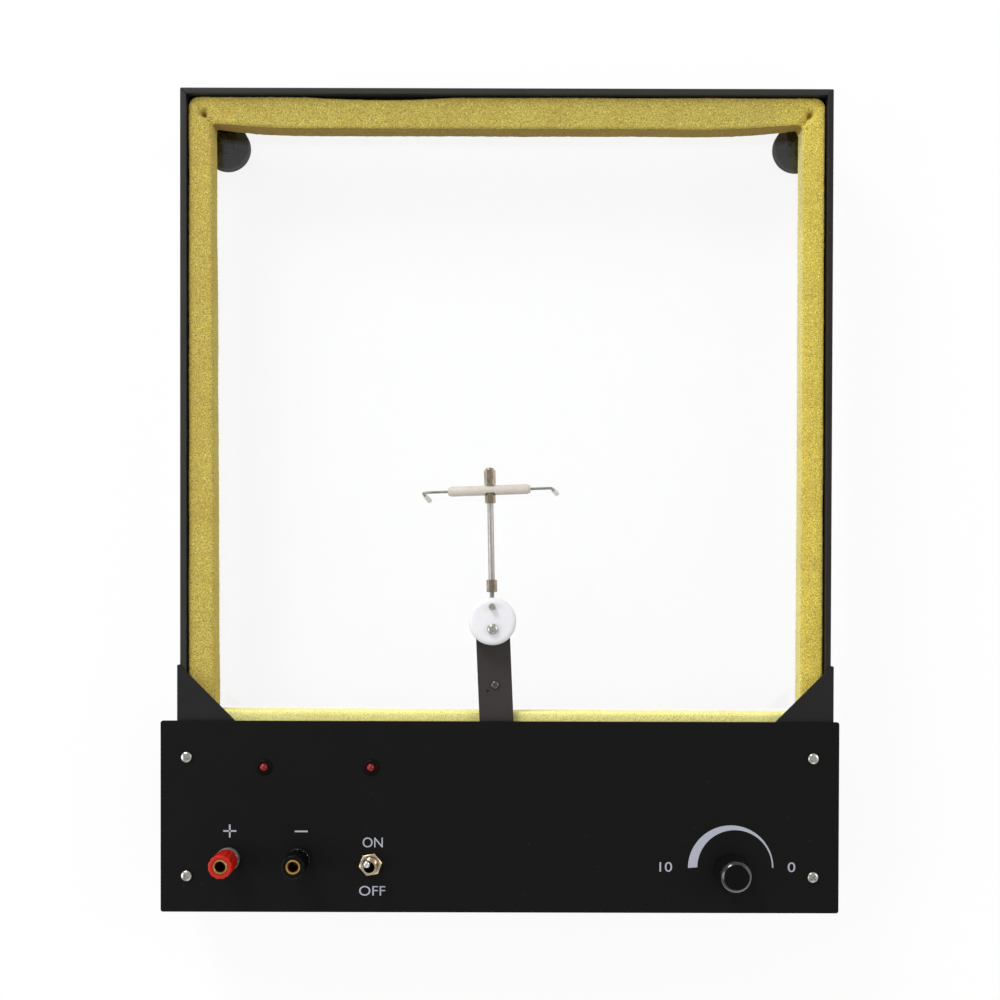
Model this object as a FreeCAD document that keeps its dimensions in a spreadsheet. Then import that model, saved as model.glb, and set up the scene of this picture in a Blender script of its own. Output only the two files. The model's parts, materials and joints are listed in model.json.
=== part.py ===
"""Ripple tank with a motor-driven two-point dipper, in millimetres, +Z up.

A glass-bottomed tank with foam beaches stands behind a control box. A rocking arm comes out of the
box, carries a nylon disc, and the disc carries the rod of the dippers. The origin is on the floor,
under the centre of the whole apparatus; the control panel faces up at the front, towards -Y.
"""

import FreeCAD, Part
import math
import os
import re

import Sketcher

SIZES = {
    # tank frame: angle bars with mitred ends
    "tank_width": 269.5,
    "tank_depth": 268,
    "tank_shift": 2.2,
    "frame_base": 17.5,
    "wall_height": 22,
    "wall_thick": 2.5,
    "ledge_width": 6,
    "ledge_thick": 2,
    "arm_notch_width": 19,
    "cut_margin": 1,
    # glass bottom on its seal
    "glass_thick": 4,
    "glass_gap": 0.5,
    "seal_thick": 0.5,
    "seal_width": 3,
    # foam beaches
    "foam_height": 12,
    "foam_gap": 0.5,
    "side_foam_width": 9.7,
    "rear_foam_width": 12,
    "front_foam_width": 8,
    "foam_corner": 5,
    # front corner gussets
    "gusset_leg": 31,
    "gusset_thick": 1,
    "gusset_drop": 9,
    # control panel and tray
    "panel_width": 280,
    "panel_depth": 79,
    "panel_thick": 1.5,
    "panel_overlap": 7,
    "panel_corner": 1,
    "tray_inset": 1,
    "tray_base": 10,
    "sheet_thick": 1.2,
    "flange_width": 15,
    "case_screw_side": 10.8,
    "case_screw_edge": 15,
    "tray_screw_spacing": 66,
    "tray_screw_rise": 12.5,
    # pan-head screws
    "screw_radius": 1.2,
    "screw_head_radius": 2.35,
    "screw_head_height": 1.5,
    "pan_edge_ratio": 0.5,
    "pan_crown_ratio": 0.7,
    "screw_length": 5,
    "wall_screw_length": 3.4,
    "hole_gap": 0.1,
    "running_gap": 0.05,
    # levelling feet
    "pad_radius": 10,
    "pad_height": 6.5,
    "pad_chamfer": 0.8,
    "stud_radius": 2.5,
    "stud_seat": 2,
    "stud_top": 17.6,
    "stud_chamfer": 0.6,
    "stud_flange_radius": 4.5,
    "stud_flange_height": 1.2,
    "foot_plate_margin": 6,
    "foot_plate_inset": 1,
    "foot_plate_thick": 4,
    "weld_nut_side": 14,
    "rear_foot_depth": 14.5,
    "rear_foot_left_inset": 13,
    "rear_foot_right_inset": 8.7,
    "front_foot_inset": 14,
    # indicator lamps
    "lamp_inset": 42.8,
    "lamp_spacing": 44,
    "lamp_row": 60,
    "lamp_radius": 1.85,
    "lamp_height": 2.6,
    "lamp_fillet": 1.75,
    "lamp_depth": 6,
    "bezel_radius": 3.3,
    "bezel_barrel_radius": 2.6,
    "bezel_height": 1.1,
    "bezel_chamfer": 0.65,
    "bezel_depth": 4,
    # binding posts
    "post_inset": 28,
    "post_spacing": 29.2,
    "control_row": 22,
    "post_radius": 3,
    "post_depth": 17,
    "post_height": 18.6,
    "socket_radius": 2.05,
    "socket_depth": 14,
    "socket_chamfer": 0.35,
    "collar_radius": 4.9,
    "collar_height": 3.4,
    "collar_neck_radius": 4,
    "fibre_thick": 1.2,
    "post_nut_flats": 8,
    "post_nut_height": 2.5,
    "washer_radius": 4.6,
    "washer_thick": 0.9,
    "cap_radius": 4.9,
    "cap_height": 13.8,
    "cap_edge": 0.6,
    "cap_flutes": 12,
    "cap_flute_radius": 0.75,
    "cap_flute_set": 0.35,
    # toggle switch
    "toggle_inset": 86.8,
    "toggle_row": 20,
    "toggle_yaw": 10,
    "toggle_length": 13,
    "toggle_width": 8,
    "toggle_depth": 12,
    "toggle_bush_radius": 3,
    "toggle_bush_height": 7.5,
    "toggle_bore_radius": 2.3,
    "toggle_pivot_height": 4,
    "toggle_nut_flats": 8.4,
    "toggle_nut_height": 2,
    "lever_ball_radius": 2.2,
    "lever_neck_radius": 0.95,
    "lever_stem_radius": 1.55,
    "lever_tip_radius": 1.6,
    "lever_length": 10,
    "lever_tilt": 15,
    # speed control
    "dial_inset": 44.3,
    "dial_row": 17.5,
    "pot_radius": 8.2,
    "pot_height": 8,
    "pot_drop": 1,
    "pot_bush_radius": 3.5,
    "pot_bush_height": 5,
    "pot_nut_flats": 10,
    "pot_nut_height": 2,
    "shaft_radius": 3,
    "shaft_height": 11.5,
    "shaft_depth": 5,
    "knob_gap": 0.6,
    "knob_radius": 7.3,
    "knob_top_radius": 6,
    "knob_height": 13.5,
    "knob_edge": 0.4,
    "knob_crown_width": 1.2,
    "knob_crown_height": 1.2,
    "knob_recess_radius": 6.2,
    "knob_recess_height": 4.5,
    "knob_flutes": 16,
    "knob_flute_radius": 0.7,
    "knob_flute_set": 0.14,
    "knob_skirt_height": 1.6,
    # speed-control board
    "board_length": 52,
    "board_width": 38,
    "board_thick": 1.6,
    "board_shift": 9,
    "board_front": 1,
    "capacitor_radius": 3.2,
    "capacitor_height": 8,
    "capacitor_reach": 18.7,
    "capacitor_spacing": 8.3,
    "heatsink_length": 14,
    "heatsink_width": 6,
    "heatsink_height": 7,
    "heatsink_shift": 4,
    "heatsink_margin": 4,
    "terminal_width": 16,
    "terminal_depth": 7.5,
    "terminal_height": 6,
    "terminal_side_margin": 1.5,
    "terminal_rear_margin": 3,
    # rocking arm: inner leaf on its pivot
    "arm_x": -2.1,
    "pivot_set_back": 7,
    "pivot_drop": 7,
    "pin_radius": 1.5,
    "pin_length": 22,
    "leaf_width": 12,
    "leaf_thick": 1,
    "leaf_rear": 38,
    "leaf_front": 37,
    "ear_thick": 1,
    "ear_half_length": 4,
    "ear_foot_half_length": 2,
    "ear_below_pin": 3,
    "bracket_width": 19.2,
    "bracket_thick": 1,
    "bracket_below_pin": 5,
    "bracket_above_pin": 3,
    "bracket_reach": 10,
    "bracket_notch_gap": 0.5,
    "bush_radius": 2.5,
    "bush_flange_radius": 3.4,
    "bush_flange_thick": 0.7,
    # rocking arm: outer strip
    "arm_clearance": 1,
    "arm_screw_reach": 28.9,
    "strip_width": 14.1,
    "strip_thick": 1,
    "strip_front": 21,
    "strip_rear": 30,
    "strip_yaw": 2.5,
    "strip_drop": 0.5,
    "dimple_x": 3.1,
    "dimple_y": 2.4,
    "dimple_radius": 0.6,
    "dimple_depth": 0.6,
    "arm_screw_radius": 1,
    "arm_screw_head": 1.7,
    "arm_screw_head_height": 1.1,
    "arm_screw_length": 6,
    "arm_nut_flats": 5,
    "arm_nut_height": 1.8,
    # motor under the leaf
    "motor_radius": 8,
    "motor_length": 20,
    "motor_chamfer": 0.6,
    "motor_set_back": 22,
    "motor_shift": 2,
    "motor_boss_radius": 2.6,
    "motor_boss_length": 1.6,
    "motor_shaft_radius": 1,
    "motor_shaft_length": 9,
    "clip_thick": 0.8,
    "clip_width": 10,
    "clip_ear": 6,
    "weight_radius": 6,
    "weight_hub_radius": 2.4,
    "weight_thick": 4.5,
    "weight_gap": 1.2,
    # nylon disc
    "disc_radius": 9.8,
    "disc_height": 8,
    "disc_chamfer": 0.7,
    "disc_offset": 3.1,
    "disc_screw_reach": 23.4,
    "disc_screw_radius": 1.5,
    "disc_screw_head": 2.2,
    "disc_screw_head_height": 1.6,
    "disc_nut_flats": 5.5,
    "disc_nut_height": 2.2,
    "set_screw_reach": 9.1,
    "set_screw_radius": 1.3,
    "set_screw_height": 2.6,
    "set_screw_chamfer": 0.3,
    "slide_gap": 0.1,
    # rod and its nuts
    "rod_yaw": 1.2,
    "rod_stud_radius": 1,
    "rod_stud_start": 6,
    "rod_bore_start": 3,
    "rod_radius": 1.3,
    "rod_start": 16,
    "coupling_start": 15.1,
    "coupling_length": 5.1,
    "rod_shoulder": 0.6,
    "rod_nut_flats": 3.8,
    "clamp_nut_length": 4.2,
    "cap_nut_flats": 4.1,
    "cap_nut_length": 7.2,
    "cap_nut_roof": 1.5,
    "cap_dome_height": 1,
    "cap_dome_inset": 0.15,
    "cap_dome_fillet": 0.8,
    # cross tube and dipper wires
    "tube_reach": 56.9,
    "tube_radius": 2.05,
    "tube_left": 17.2,
    "tube_right": 16.6,
    "tube_skew": 1,
    "tube_spot_depth": 1,
    "tube_spot_gap": 0.15,
    "tube_bore_end": 2.6,
    "wire_radius": 0.55,
    "wire_insert": 8.2,
    "wire_bend": 1.4,
    "left_wire_reach": 27.8,
    "right_wire_reach": 25.2,
    "wire_drop": 10.5,
    "left_tip_lean": -2.4,
    "right_tip_lean": 2.6,
    "left_tip_forward": 2.9,
    "right_tip_forward": 1.7,
    "sleeve_radius": 1,
    "sleeve_length": 7.5,
}

PLACES = {
    # levels
    "rim_z": "frame_base + wall_height",
    "ledge_z": "frame_base + ledge_thick",
    "glass_z": "ledge_z + seal_thick",
    "water_floor_z": "glass_z + glass_thick",
    "panel_z": "rim_z + gusset_thick",
    "panel_top": "panel_z + panel_thick",
    "tray_floor": "tray_base + sheet_thick",
    "flange_z": "panel_z - sheet_thick",
    # plan of the tank and the box
    "front_y": "-(panel_depth - panel_overlap + tank_depth) / 2",
    "panel_rear_y": "front_y + panel_depth",
    "tank_front_y": "panel_rear_y - panel_overlap",
    "tank_rear_y": "tank_front_y + tank_depth",
    "tank_middle_y": "tank_front_y + tank_depth / 2",
    "tank_left_x": "tank_shift - tank_width / 2",
    "tank_right_x": "tank_shift + tank_width / 2",
    "tray_side": "panel_width / 2 - tray_inset",
    "tray_front_y": "front_y + tray_inset",
    "tray_depth": "tank_front_y - tray_front_y",
    "tray_rear_face": "tank_front_y - sheet_thick",
    "foam_outset": "wall_thick + foam_gap",
    # controls, measured from the front edge and the nearer end of the panel
    "lamp_left_x": "lamp_inset - panel_width / 2",
    "lamp_right_x": "lamp_left_x + lamp_spacing",
    "post_left_x": "post_inset - panel_width / 2",
    "post_right_x": "post_left_x + post_spacing",
    "toggle_x": "toggle_inset - panel_width / 2",
    "dial_x": "panel_width / 2 - dial_inset",
    "control_y": "front_y + control_row",
    "toggle_y": "front_y + toggle_row",
    "dial_y": "front_y + dial_row",
    "lamp_y": "front_y + lamp_row",
    "collar_top": "panel_top + collar_height",
    "washer_z": "collar_top + slide_gap",
    "cap_z": "washer_z + washer_thick + slide_gap",
    "post_top": "panel_top + post_height",
    "lever_pivot_z": "panel_top + toggle_pivot_height",
    "pot_z": "panel_z - pot_drop - pot_height",
    "knob_z": "panel_top + knob_gap",
    # feet
    "rear_foot_y": "tank_rear_y - rear_foot_depth",
    "front_foot_y": "tray_front_y + front_foot_inset",
    "foot_plate_z": "frame_base - foot_plate_thick",
    # arm
    "strip_top": "rim_z - strip_drop",
    "strip_z": "strip_top - strip_thick",
    "leaf_z": "strip_z - leaf_thick",
    "pivot_y": "tank_front_y - pivot_set_back",
    "pivot_z": "panel_z - pivot_drop",
    "arm_notch_z": "leaf_z - arm_clearance",
    "arm_screw_y": "pivot_y + arm_screw_reach",
    "motor_y": "pivot_y - motor_set_back",
    "motor_z": "leaf_z - clip_thick - motor_radius",
    "clip_screw_reach": "motor_radius + clip_thick + clip_ear / 2",
    "motor_nose_x": "arm_x - motor_shift + motor_length / 2",
    # disc, rod and cross tube
    "disc_screw_x": "arm_x - disc_screw_reach * sin(strip_yaw)",
    "disc_screw_y": "arm_screw_y + disc_screw_reach * cos(strip_yaw)",
    "disc_z": "strip_top + slide_gap",
    "disc_top": "disc_z + disc_height",
    "rod_z": "disc_z + disc_height / 2",
    "clamp_nut_end": "tube_reach - tube_radius + tube_spot_depth - slide_gap",
    "clamp_nut_start": "clamp_nut_end - clamp_nut_length",
    "cap_nut_start": "tube_reach + tube_radius + slide_gap",
    "rod_end": "cap_nut_start + cap_nut_length - cap_nut_roof - slide_gap",
    "tube_x": "disc_screw_x - tube_reach * sin(rod_yaw)",
    "tube_y": "disc_screw_y + tube_reach * cos(rod_yaw)",
    "tube_yaw": "rod_yaw + tube_skew",
}

DOC = FreeCAD.newDocument("RippleTank")
SHEET = DOC.addObject("Spreadsheet::Sheet", "Sizes")
NODES = []


def fill_sheet():
    """Writes every driving dimension to the sheet, one aliased cell each."""
    for row, (name, size) in enumerate(SIZES.items(), 1):
        SHEET.set(f"A{row}", name)
        SHEET.set(f"B{row}", str(size))
        SHEET.setAlias(f"B{row}", name)
    DOC.recompute()


def formula(text):
    """Spells a formula out in the sheet's own cells."""

    def spell(match):
        word = match.group(0)
        if word in PLACES:
            return f"({formula(PLACES[word])})"
        return f"Sizes.{word}" if word in SIZES else word

    return re.sub(r"[a-z_][a-z_0-9]*", spell, str(text))


def value(text):
    """A formula's number."""
    result = SHEET.evalExpression(formula(text))
    return float(getattr(result, "Value", result))


def bind(thing, prop, text):
    """Ties a property to a formula."""
    thing.setExpression(prop, formula(text))


def place(thing, x=0, y=0, z=0, yaw=0, pitch=0, roll=0):
    """Puts a sub-part at a point, turned about Z, Y and X."""
    point = f"create(<<vector>>; {formula(x)}; {formula(y)}; {formula(z)})"
    turn = f"create(<<rotation>>; {formula(yaw)}; {formula(pitch)}; {formula(roll)})"
    thing.setExpression("Placement", f"create(<<placement>>; {point}; {turn})")
    return thing


def node(thing, label):
    """Gives a sub-part the name that its file takes."""
    thing.Label = label
    NODES.append(thing)
    return thing


def group(label, members):
    """One sub-part of several separate solids, such as a set of screws."""
    several = DOC.addObject("Part::Compound", label)
    several.Links = members
    return node(several, label)


def new_body(name):
    """A PartDesign body."""
    return DOC.addObject("PartDesign::Body", name)


class Outline:
    """A sketch on one of a body's own planes, with each point bound to the sheet."""

    def __init__(self, body, role="XY_Plane", offset=0):
        self.sketch = body.newObject("Sketcher::SketchObject", "Outline")
        plane = next(f for f in body.Origin.OriginFeatures if f.Role == role)
        self.sketch.AttachmentSupport = [(plane, "")]
        self.sketch.MapMode = "FlatFace"
        bind(self.sketch, "AttachmentOffset.Base.z", offset)

    def fix(self, kind, *where, size):
        """A dimension that follows a formula."""
        index = self.sketch.addConstraint(Sketcher.Constraint(kind, *where, value(size)))
        bind(self.sketch, f"Constraints[{index}]", size)

    def polygon(self, corners):
        """A closed outline through corners given as pairs of formulas."""
        spots = [FreeCAD.Vector(value(x), value(y), 0) for x, y in corners]
        ends = spots[1:] + spots[:1]
        lines = [self.sketch.addGeometry(Part.LineSegment(a, b)) for a, b in zip(spots, ends)]
        for line, following in zip(lines, lines[1:] + lines[:1]):
            self.sketch.addConstraint(Sketcher.Constraint("Coincident", line, 2, following, 1))
        for line, (x, y) in zip(lines, corners):
            self.fix("DistanceX", -1, 1, line, 1, size=x)
            self.fix("DistanceY", -1, 1, line, 1, size=y)
        return self

    def rectangle(self, left, low, right, high):
        """A rectangle between two corners."""
        return self.polygon([(left, low), (right, low), (right, high), (left, high)])

    def circle(self, x, y, radius):
        """A circle round a point."""
        centre = FreeCAD.Vector(value(x), value(y), 0)
        ring = self.sketch.addGeometry(Part.Circle(centre, FreeCAD.Vector(0, 0, 1), value(radius)))
        self.fix("Radius", ring, size=radius)
        self.fix("DistanceX", -1, 1, ring, 3, size=x)
        self.fix("DistanceY", -1, 1, ring, 3, size=y)
        return self

    def hexagon(self, flats):
        """A hexagon round the origin, given across its flats."""
        reach = f"{flats} / 2 / cos(30)"
        angles = range(0, 360, 60)
        return self.polygon([(f"{reach} * cos({a})", f"{reach} * sin({a})") for a in angles])


def pad(body, outline, length, reverse=False):
    """Adds an outline's prism to a body."""
    feature = body.newObject("PartDesign::Pad", "Pad")
    feature.Profile = outline.sketch
    bind(feature, "Length", length)
    feature.Reversed = reverse
    return feature


def pocket(body, outline, depth, reverse=False):
    """Cuts an outline's prism out of a body; reverse cuts along the plane's normal."""
    feature = body.newObject("PartDesign::Pocket", "Pocket")
    feature.Profile = outline.sketch
    bind(feature, "Length", depth)
    feature.Reversed = reverse
    return feature


def turned(name, corners):
    """A body turned round its Z axis from a half section of (radius, height) corners."""
    body = new_body(name)
    outline = Outline(body, "XZ_Plane").polygon(corners)
    feature = body.newObject("PartDesign::Revolution", "Turning")
    feature.Profile = outline.sketch
    feature.ReferenceAxis = (outline.sketch, ["V_Axis"])
    feature.Angle = 360
    return body


def ring(name, inner, outer, low, high):
    """A plain turned ring."""
    return turned(name, [(inner, low), (outer, low), (outer, high), (inner, high)])


def nut(name, flats, bore, height):
    """A hexagon nut standing on its origin."""
    body = new_body(name)
    pad(body, Outline(body).hexagon(flats), height)
    pocket(body, Outline(body).circle(0, 0, bore), height, reverse=True)
    return body


def pan_screw(name, length, radius="screw_radius", head="screw_head_radius", rise="screw_head_height"):
    """A pan-head screw whose head sits on its origin and whose shank points down."""
    return turned(
        name,
        [
            (0, f"-({length})"),
            (radius, f"-({length})"),
            (radius, 0),
            (head, 0),
            (head, f"{rise} * pan_edge_ratio"),
            (f"{head} * pan_crown_ratio", rise),
            (0, rise),
        ],
    )


def repeat_round(body, feature, outline, count):
    """Repeats a cut round the body's Z axis."""
    pattern = body.newObject("PartDesign::PolarPattern", "Round")
    pattern.Originals = [feature]
    pattern.Axis = (outline.sketch, ["N_Axis"])
    pattern.Angle = 360
    bind(pattern, "Occurrences", count)
    body.Tip = pattern


def dress_edges(body, kind, size, amount, chosen):
    """Adds a fillet or chamfer to those edges of a body whose middle point passes a test."""
    DOC.recompute()
    base = body.Tip
    edges = base.Shape.Edges
    middles = [edge.valueAt((edge.FirstParameter + edge.LastParameter) / 2) for edge in edges]
    names = [f"Edge{n}" for n, middle in enumerate(middles, 1) if chosen(middle)]
    dressing = body.newObject(kind, "Edges")
    dressing.Base = (base, names)
    bind(dressing, size, amount)


def round_edges(body, radius, chosen):
    """Rounds the chosen edges."""
    dress_edges(body, "PartDesign::Fillet", "Radius", radius, chosen)


def chamfer_edges(body, size, chosen):
    """Chamfers the chosen edges."""
    dress_edges(body, "PartDesign::Chamfer", "Size", size, chosen)


def near(a, b):
    """Whether two lengths are the same."""
    return abs(a - b) < 1e-6


# tank


def angle_bar(label, length):
    """One side of the frame: an upright wall with a ledge along its inner foot and mitred ends."""
    body = new_body(label)
    for depth, height in (("ledge_width", "ledge_thick"), ("wall_thick", "wall_height")):
        inner = f"{length} / 2 - {depth}"
        half = f"{length} / 2"
        corners = [(f"-{half}", 0), (half, 0), (inner, depth), (f"-({inner})", depth)]
        pad(body, Outline(body).polygon(corners), height)
    return node(body, label)


def tank_frame():
    """Four angle bars in a rectangle; the front one is notched for the arm and drilled for the box."""
    place(angle_bar("rear_wall", "tank_width"), "tank_shift", "tank_rear_y", "frame_base", yaw=180)
    place(angle_bar("left_wall", "tank_depth"), "tank_left_x", "tank_middle_y", "frame_base", yaw=-90)
    place(angle_bar("right_wall", "tank_depth"), "tank_right_x", "tank_middle_y", "frame_base", yaw=90)
    front = angle_bar("front_wall", "tank_width")
    place(front, "tank_shift", "tank_front_y", "frame_base")
    middle = "(arm_x - tank_shift)"
    notch = Outline(front, "XZ_Plane").rectangle(
        f"{middle} - arm_notch_width / 2",
        "arm_notch_z - frame_base",
        f"{middle} + arm_notch_width / 2",
        "wall_height + cut_margin",
    )
    pocket(front, notch, "wall_thick", reverse=False)
    holes = Outline(front, "XZ_Plane")
    for x in tray_screw_places():
        holes.circle(f"{x} - tank_shift", "tray_screw_rise", "screw_radius + hole_gap")
    pocket(front, holes, "wall_thick", reverse=False)


def glass_and_seal():
    """The glass bottom lies on a flat seal on the ledges."""
    edge = "(wall_thick + glass_gap)"
    seal = new_body("glass_seal")
    outer_x, outer_y = f"tank_width / 2 - {edge}", f"tank_depth / 2 - {edge}"
    inner_x, inner_y = f"{outer_x} - seal_width", f"{outer_y} - seal_width"
    frame = Outline(seal).rectangle(f"-({outer_x})", f"-({outer_y})", outer_x, outer_y)
    frame.rectangle(f"-({inner_x})", f"-({inner_y})", inner_x, inner_y)
    pad(seal, frame, "seal_thick")
    place(node(seal, "glass_seal"), "tank_shift", "tank_middle_y", "ledge_z")
    glass = new_body("glass_bottom")
    sheet = Outline(glass).rectangle(f"-({outer_x})", f"-({outer_y})", outer_x, outer_y)
    pad(glass, sheet, "glass_thick")
    place(node(glass, "glass_bottom"), "tank_shift", "tank_middle_y", "glass_z")


def foam_beaches():
    """Foam strips along the four walls; the side strips butt under the rear one."""
    rear = new_body("foam_rear")
    half = "tank_width / 2 - foam_outset"
    pad(rear, Outline(rear).rectangle(f"-({half})", "-rear_foam_width", half, 0), "foam_height")
    round_edges(rear, "foam_corner", lambda p: near(p.y, 0) and near(p.z, value("foam_height") / 2))
    place(node(rear, "foam_rear"), "tank_shift", "tank_rear_y - foam_outset", "water_floor_z")
    side_length = "tank_depth - 2 * foam_outset - rear_foam_width"
    for label, x, inner in (
        ("foam_left", "tank_left_x + foam_outset", "side_foam_width"),
        ("foam_right", "tank_right_x - foam_outset", "-side_foam_width"),
    ):
        strip = new_body(label)
        sheet = Outline(strip).rectangle(0, 0, inner, side_length)
        pad(strip, sheet, "foam_height")
        place(node(strip, label), x, "tank_front_y + foam_outset", "water_floor_z")
    front = new_body("foam_front")
    reach = "tank_width / 2 - foam_outset - side_foam_width"
    pad(front, Outline(front).rectangle(f"-({reach})", 0, reach, "front_foam_width"), "foam_height")
    place(node(front, "foam_front"), "tank_shift", "tank_front_y + foam_outset", "water_floor_z")


def gusset(label, x, side):
    """A thin triangular plate over a front corner, with a flange down the outside of the wall."""
    body = new_body(label)
    outer = f"{-side} * gusset_thick"
    plate = Outline(body).polygon(
        [
            (outer, 0),
            (f"{side} * (gusset_leg - gusset_thick)", 0),
            (f"{side} * (gusset_leg - gusset_thick - panel_overlap)", "panel_overlap"),
            (0, "gusset_leg - gusset_thick"),
            (outer, "gusset_leg - gusset_thick"),
        ]
    )
    pad(body, plate, "gusset_thick")
    flange = Outline(body).rectangle(outer, 0, 0, "gusset_leg - gusset_thick")
    pad(body, flange, "gusset_drop", reverse=True)
    place(node(body, label), x, "tank_front_y", "rim_z")


# feet


def foot_places():
    """Each levelling foot's name and place."""
    side = "tray_side - front_foot_inset"
    return (
        ("rear_left", "tank_left_x + rear_foot_left_inset", "rear_foot_y"),
        ("rear_right", "tank_right_x - rear_foot_right_inset", "rear_foot_y"),
        ("front_left", f"-({side})", "front_foot_y"),
        ("front_right", side, "front_foot_y"),
    )


def foot_plates():
    """What the studs screw into: corner plates under the ledges and weld nuts in the tray."""
    rear_left, rear_right, front_left, front_right = foot_places()
    plates = []
    for (name, x, y), corner_x, side in (
        (rear_left, "tank_left_x", 1),
        (rear_right, "tank_right_x", -1),
    ):
        body = new_body(f"plate_{name}")
        inset = f"{x} - ({corner_x})"
        ends = (f"{side} * foot_plate_inset", f"{inset} + {side} * foot_plate_margin")
        left, right = ends[::side]
        low = "-(rear_foot_depth + foot_plate_margin)"
        pad(body, Outline(body).rectangle(left, low, right, "-foot_plate_inset"), "foot_plate_thick")
        hole = Outline(body).circle(inset, "-rear_foot_depth", "stud_radius + running_gap")
        pocket(body, hole, "foot_plate_thick", reverse=True)
        plates.append(place(body, corner_x, "tank_rear_y", "foot_plate_z"))
    for name, x, y in (front_left, front_right):
        body = new_body(f"plate_{name}")
        half = "weld_nut_side / 2"
        pad(body, Outline(body).rectangle(f"-{half}", f"-{half}", half, half), "foot_plate_thick")
        hole = Outline(body).circle(0, 0, "stud_radius + running_gap")
        pocket(body, hole, "foot_plate_thick", reverse=True)
        plates.append(place(body, x, y, "tray_floor"))
    group("foot_plates", plates)


def levelling_feet():
    """Four pads, each with a threaded stud that turns in it."""
    for name, x, y in foot_places():
        inner = "pad_radius - pad_chamfer"
        foot_pad = turned(
            f"foot_pad_{name}",
            [
                (0, 0),
                (inner, 0),
                ("pad_radius", "pad_chamfer"),
                ("pad_radius", "pad_height - pad_chamfer"),
                (inner, "pad_height"),
                ("stud_radius + running_gap", "pad_height"),
                ("stud_radius + running_gap", "stud_seat"),
                (0, "stud_seat"),
            ],
        )
        place(node(foot_pad, f"foot_pad_{name}"), x, y)
        flange = "pad_height + slide_gap"
        stud = turned(
            f"foot_stud_{name}",
            [
                (0, "stud_seat + slide_gap"),
                ("stud_radius", "stud_seat + slide_gap"),
                ("stud_radius", flange),
                ("stud_flange_radius", flange),
                ("stud_flange_radius", f"{flange} + stud_flange_height"),
                ("stud_radius", f"{flange} + stud_flange_height"),
                ("stud_radius", "stud_top - stud_chamfer"),
                ("stud_radius - stud_chamfer", "stud_top"),
                (0, "stud_top"),
            ],
        )
        place(node(stud, f"foot_stud_{name}"), x, y)


# control box


def tray_screw_places():
    """Where the screws through the tray's rear wall stand, from left to right."""
    return [f"{step} * tray_screw_spacing" for step in (-1.5, -0.5, 0.5, 1.5)]


def panel_screw_places():
    """The four panel screws, as pairs of formulas."""
    side = "panel_width / 2 - case_screw_side"
    rows = ("panel_rear_y - case_screw_edge", "front_y + case_screw_edge")
    return [(x, y) for x in (f"-({side})", side) for y in rows]


def control_tray():
    """A folded sheet box, open on top, with side flanges that the panel is screwed to."""
    tray = new_body("control_tray")
    inner, lip = "tray_side - sheet_thick", "tray_side - flange_width"
    height, ceiling = "panel_z - tray_base", "flange_z - tray_base"
    section = Outline(tray, "XZ_Plane").polygon(
        [
            ("-tray_side", 0),
            ("tray_side", 0),
            ("tray_side", height),
            (lip, height),
            (lip, ceiling),
            (inner, ceiling),
            (inner, "sheet_thick"),
            (f"-({inner})", "sheet_thick"),
            (f"-({inner})", ceiling),
            (f"-({lip})", ceiling),
            (f"-({lip})", height),
            ("-tray_side", height),
        ]
    )
    pad(tray, section, "tray_depth", reverse=True)
    for offset in ("0", "-(tray_depth - sheet_thick)"):
        wall = Outline(tray, "XZ_Plane", offset).rectangle("-tray_side", 0, "tray_side", height)
        pad(tray, wall, "sheet_thick", reverse=True)
    rear = "-(tray_depth - sheet_thick)"
    notch = Outline(tray, "XZ_Plane", rear).rectangle(
        "arm_x - arm_notch_width / 2",
        "arm_notch_z - tray_base",
        "arm_x + arm_notch_width / 2",
        f"{height} + cut_margin",
    )
    pocket(tray, notch, "sheet_thick", reverse=False)
    holes = Outline(tray, "XZ_Plane", rear)
    for x in tray_screw_places():
        holes.circle(x, "frame_base + tray_screw_rise - tray_base", "screw_radius + hole_gap")
    pocket(tray, holes, "sheet_thick", reverse=False)
    flange_holes = Outline(tray, "XY_Plane", ceiling)
    for x, y in panel_screw_places():
        flange_holes.circle(x, f"{y} - (tray_front_y)", "screw_radius + hole_gap")
    pocket(tray, flange_holes, "sheet_thick", reverse=True)
    foot_holes = Outline(tray)
    for name, x, y in foot_places()[2:]:
        foot_holes.circle(x, f"{y} - (tray_front_y)", "stud_radius + hole_gap")
    pocket(tray, foot_holes, "sheet_thick", reverse=True)
    place(node(tray, "control_tray"), 0, "tray_front_y", "tray_base")


def on_long_edge(y):
    """Whether a distance from the panel's front lies on one of its two long edges."""
    return near(y, 0) or near(y, value("panel_depth"))


def panel_plate():
    """The flat panel on top of the box, with the holes of its controls."""
    panel = new_body("panel_plate")
    half = "panel_width / 2"
    pad(panel, Outline(panel).rectangle(f"-{half}", 0, half, "panel_depth"), "panel_thick")
    side, middle = value(half), value("panel_thick / 2")
    round_edges(
        panel,
        "panel_corner",
        lambda p: near(abs(p.x), side) and near(p.z, middle) and on_long_edge(p.y),
    )
    holes = Outline(panel)
    for x, y in panel_screw_places():
        holes.circle(x, f"{y} - (front_y)", "screw_radius + hole_gap")
    for x in ("lamp_left_x", "lamp_right_x"):
        holes.circle(x, "lamp_row", "bezel_barrel_radius + running_gap")
    for x in ("post_left_x", "post_right_x"):
        holes.circle(x, "control_row", "collar_neck_radius + running_gap")
    holes.circle("toggle_x", "toggle_row", "toggle_bush_radius + running_gap")
    holes.circle("dial_x", "dial_row", "pot_bush_radius + running_gap")
    pocket(panel, holes, "panel_thick", reverse=True)
    place(node(panel, "panel_plate"), 0, "front_y", "panel_z")


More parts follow.
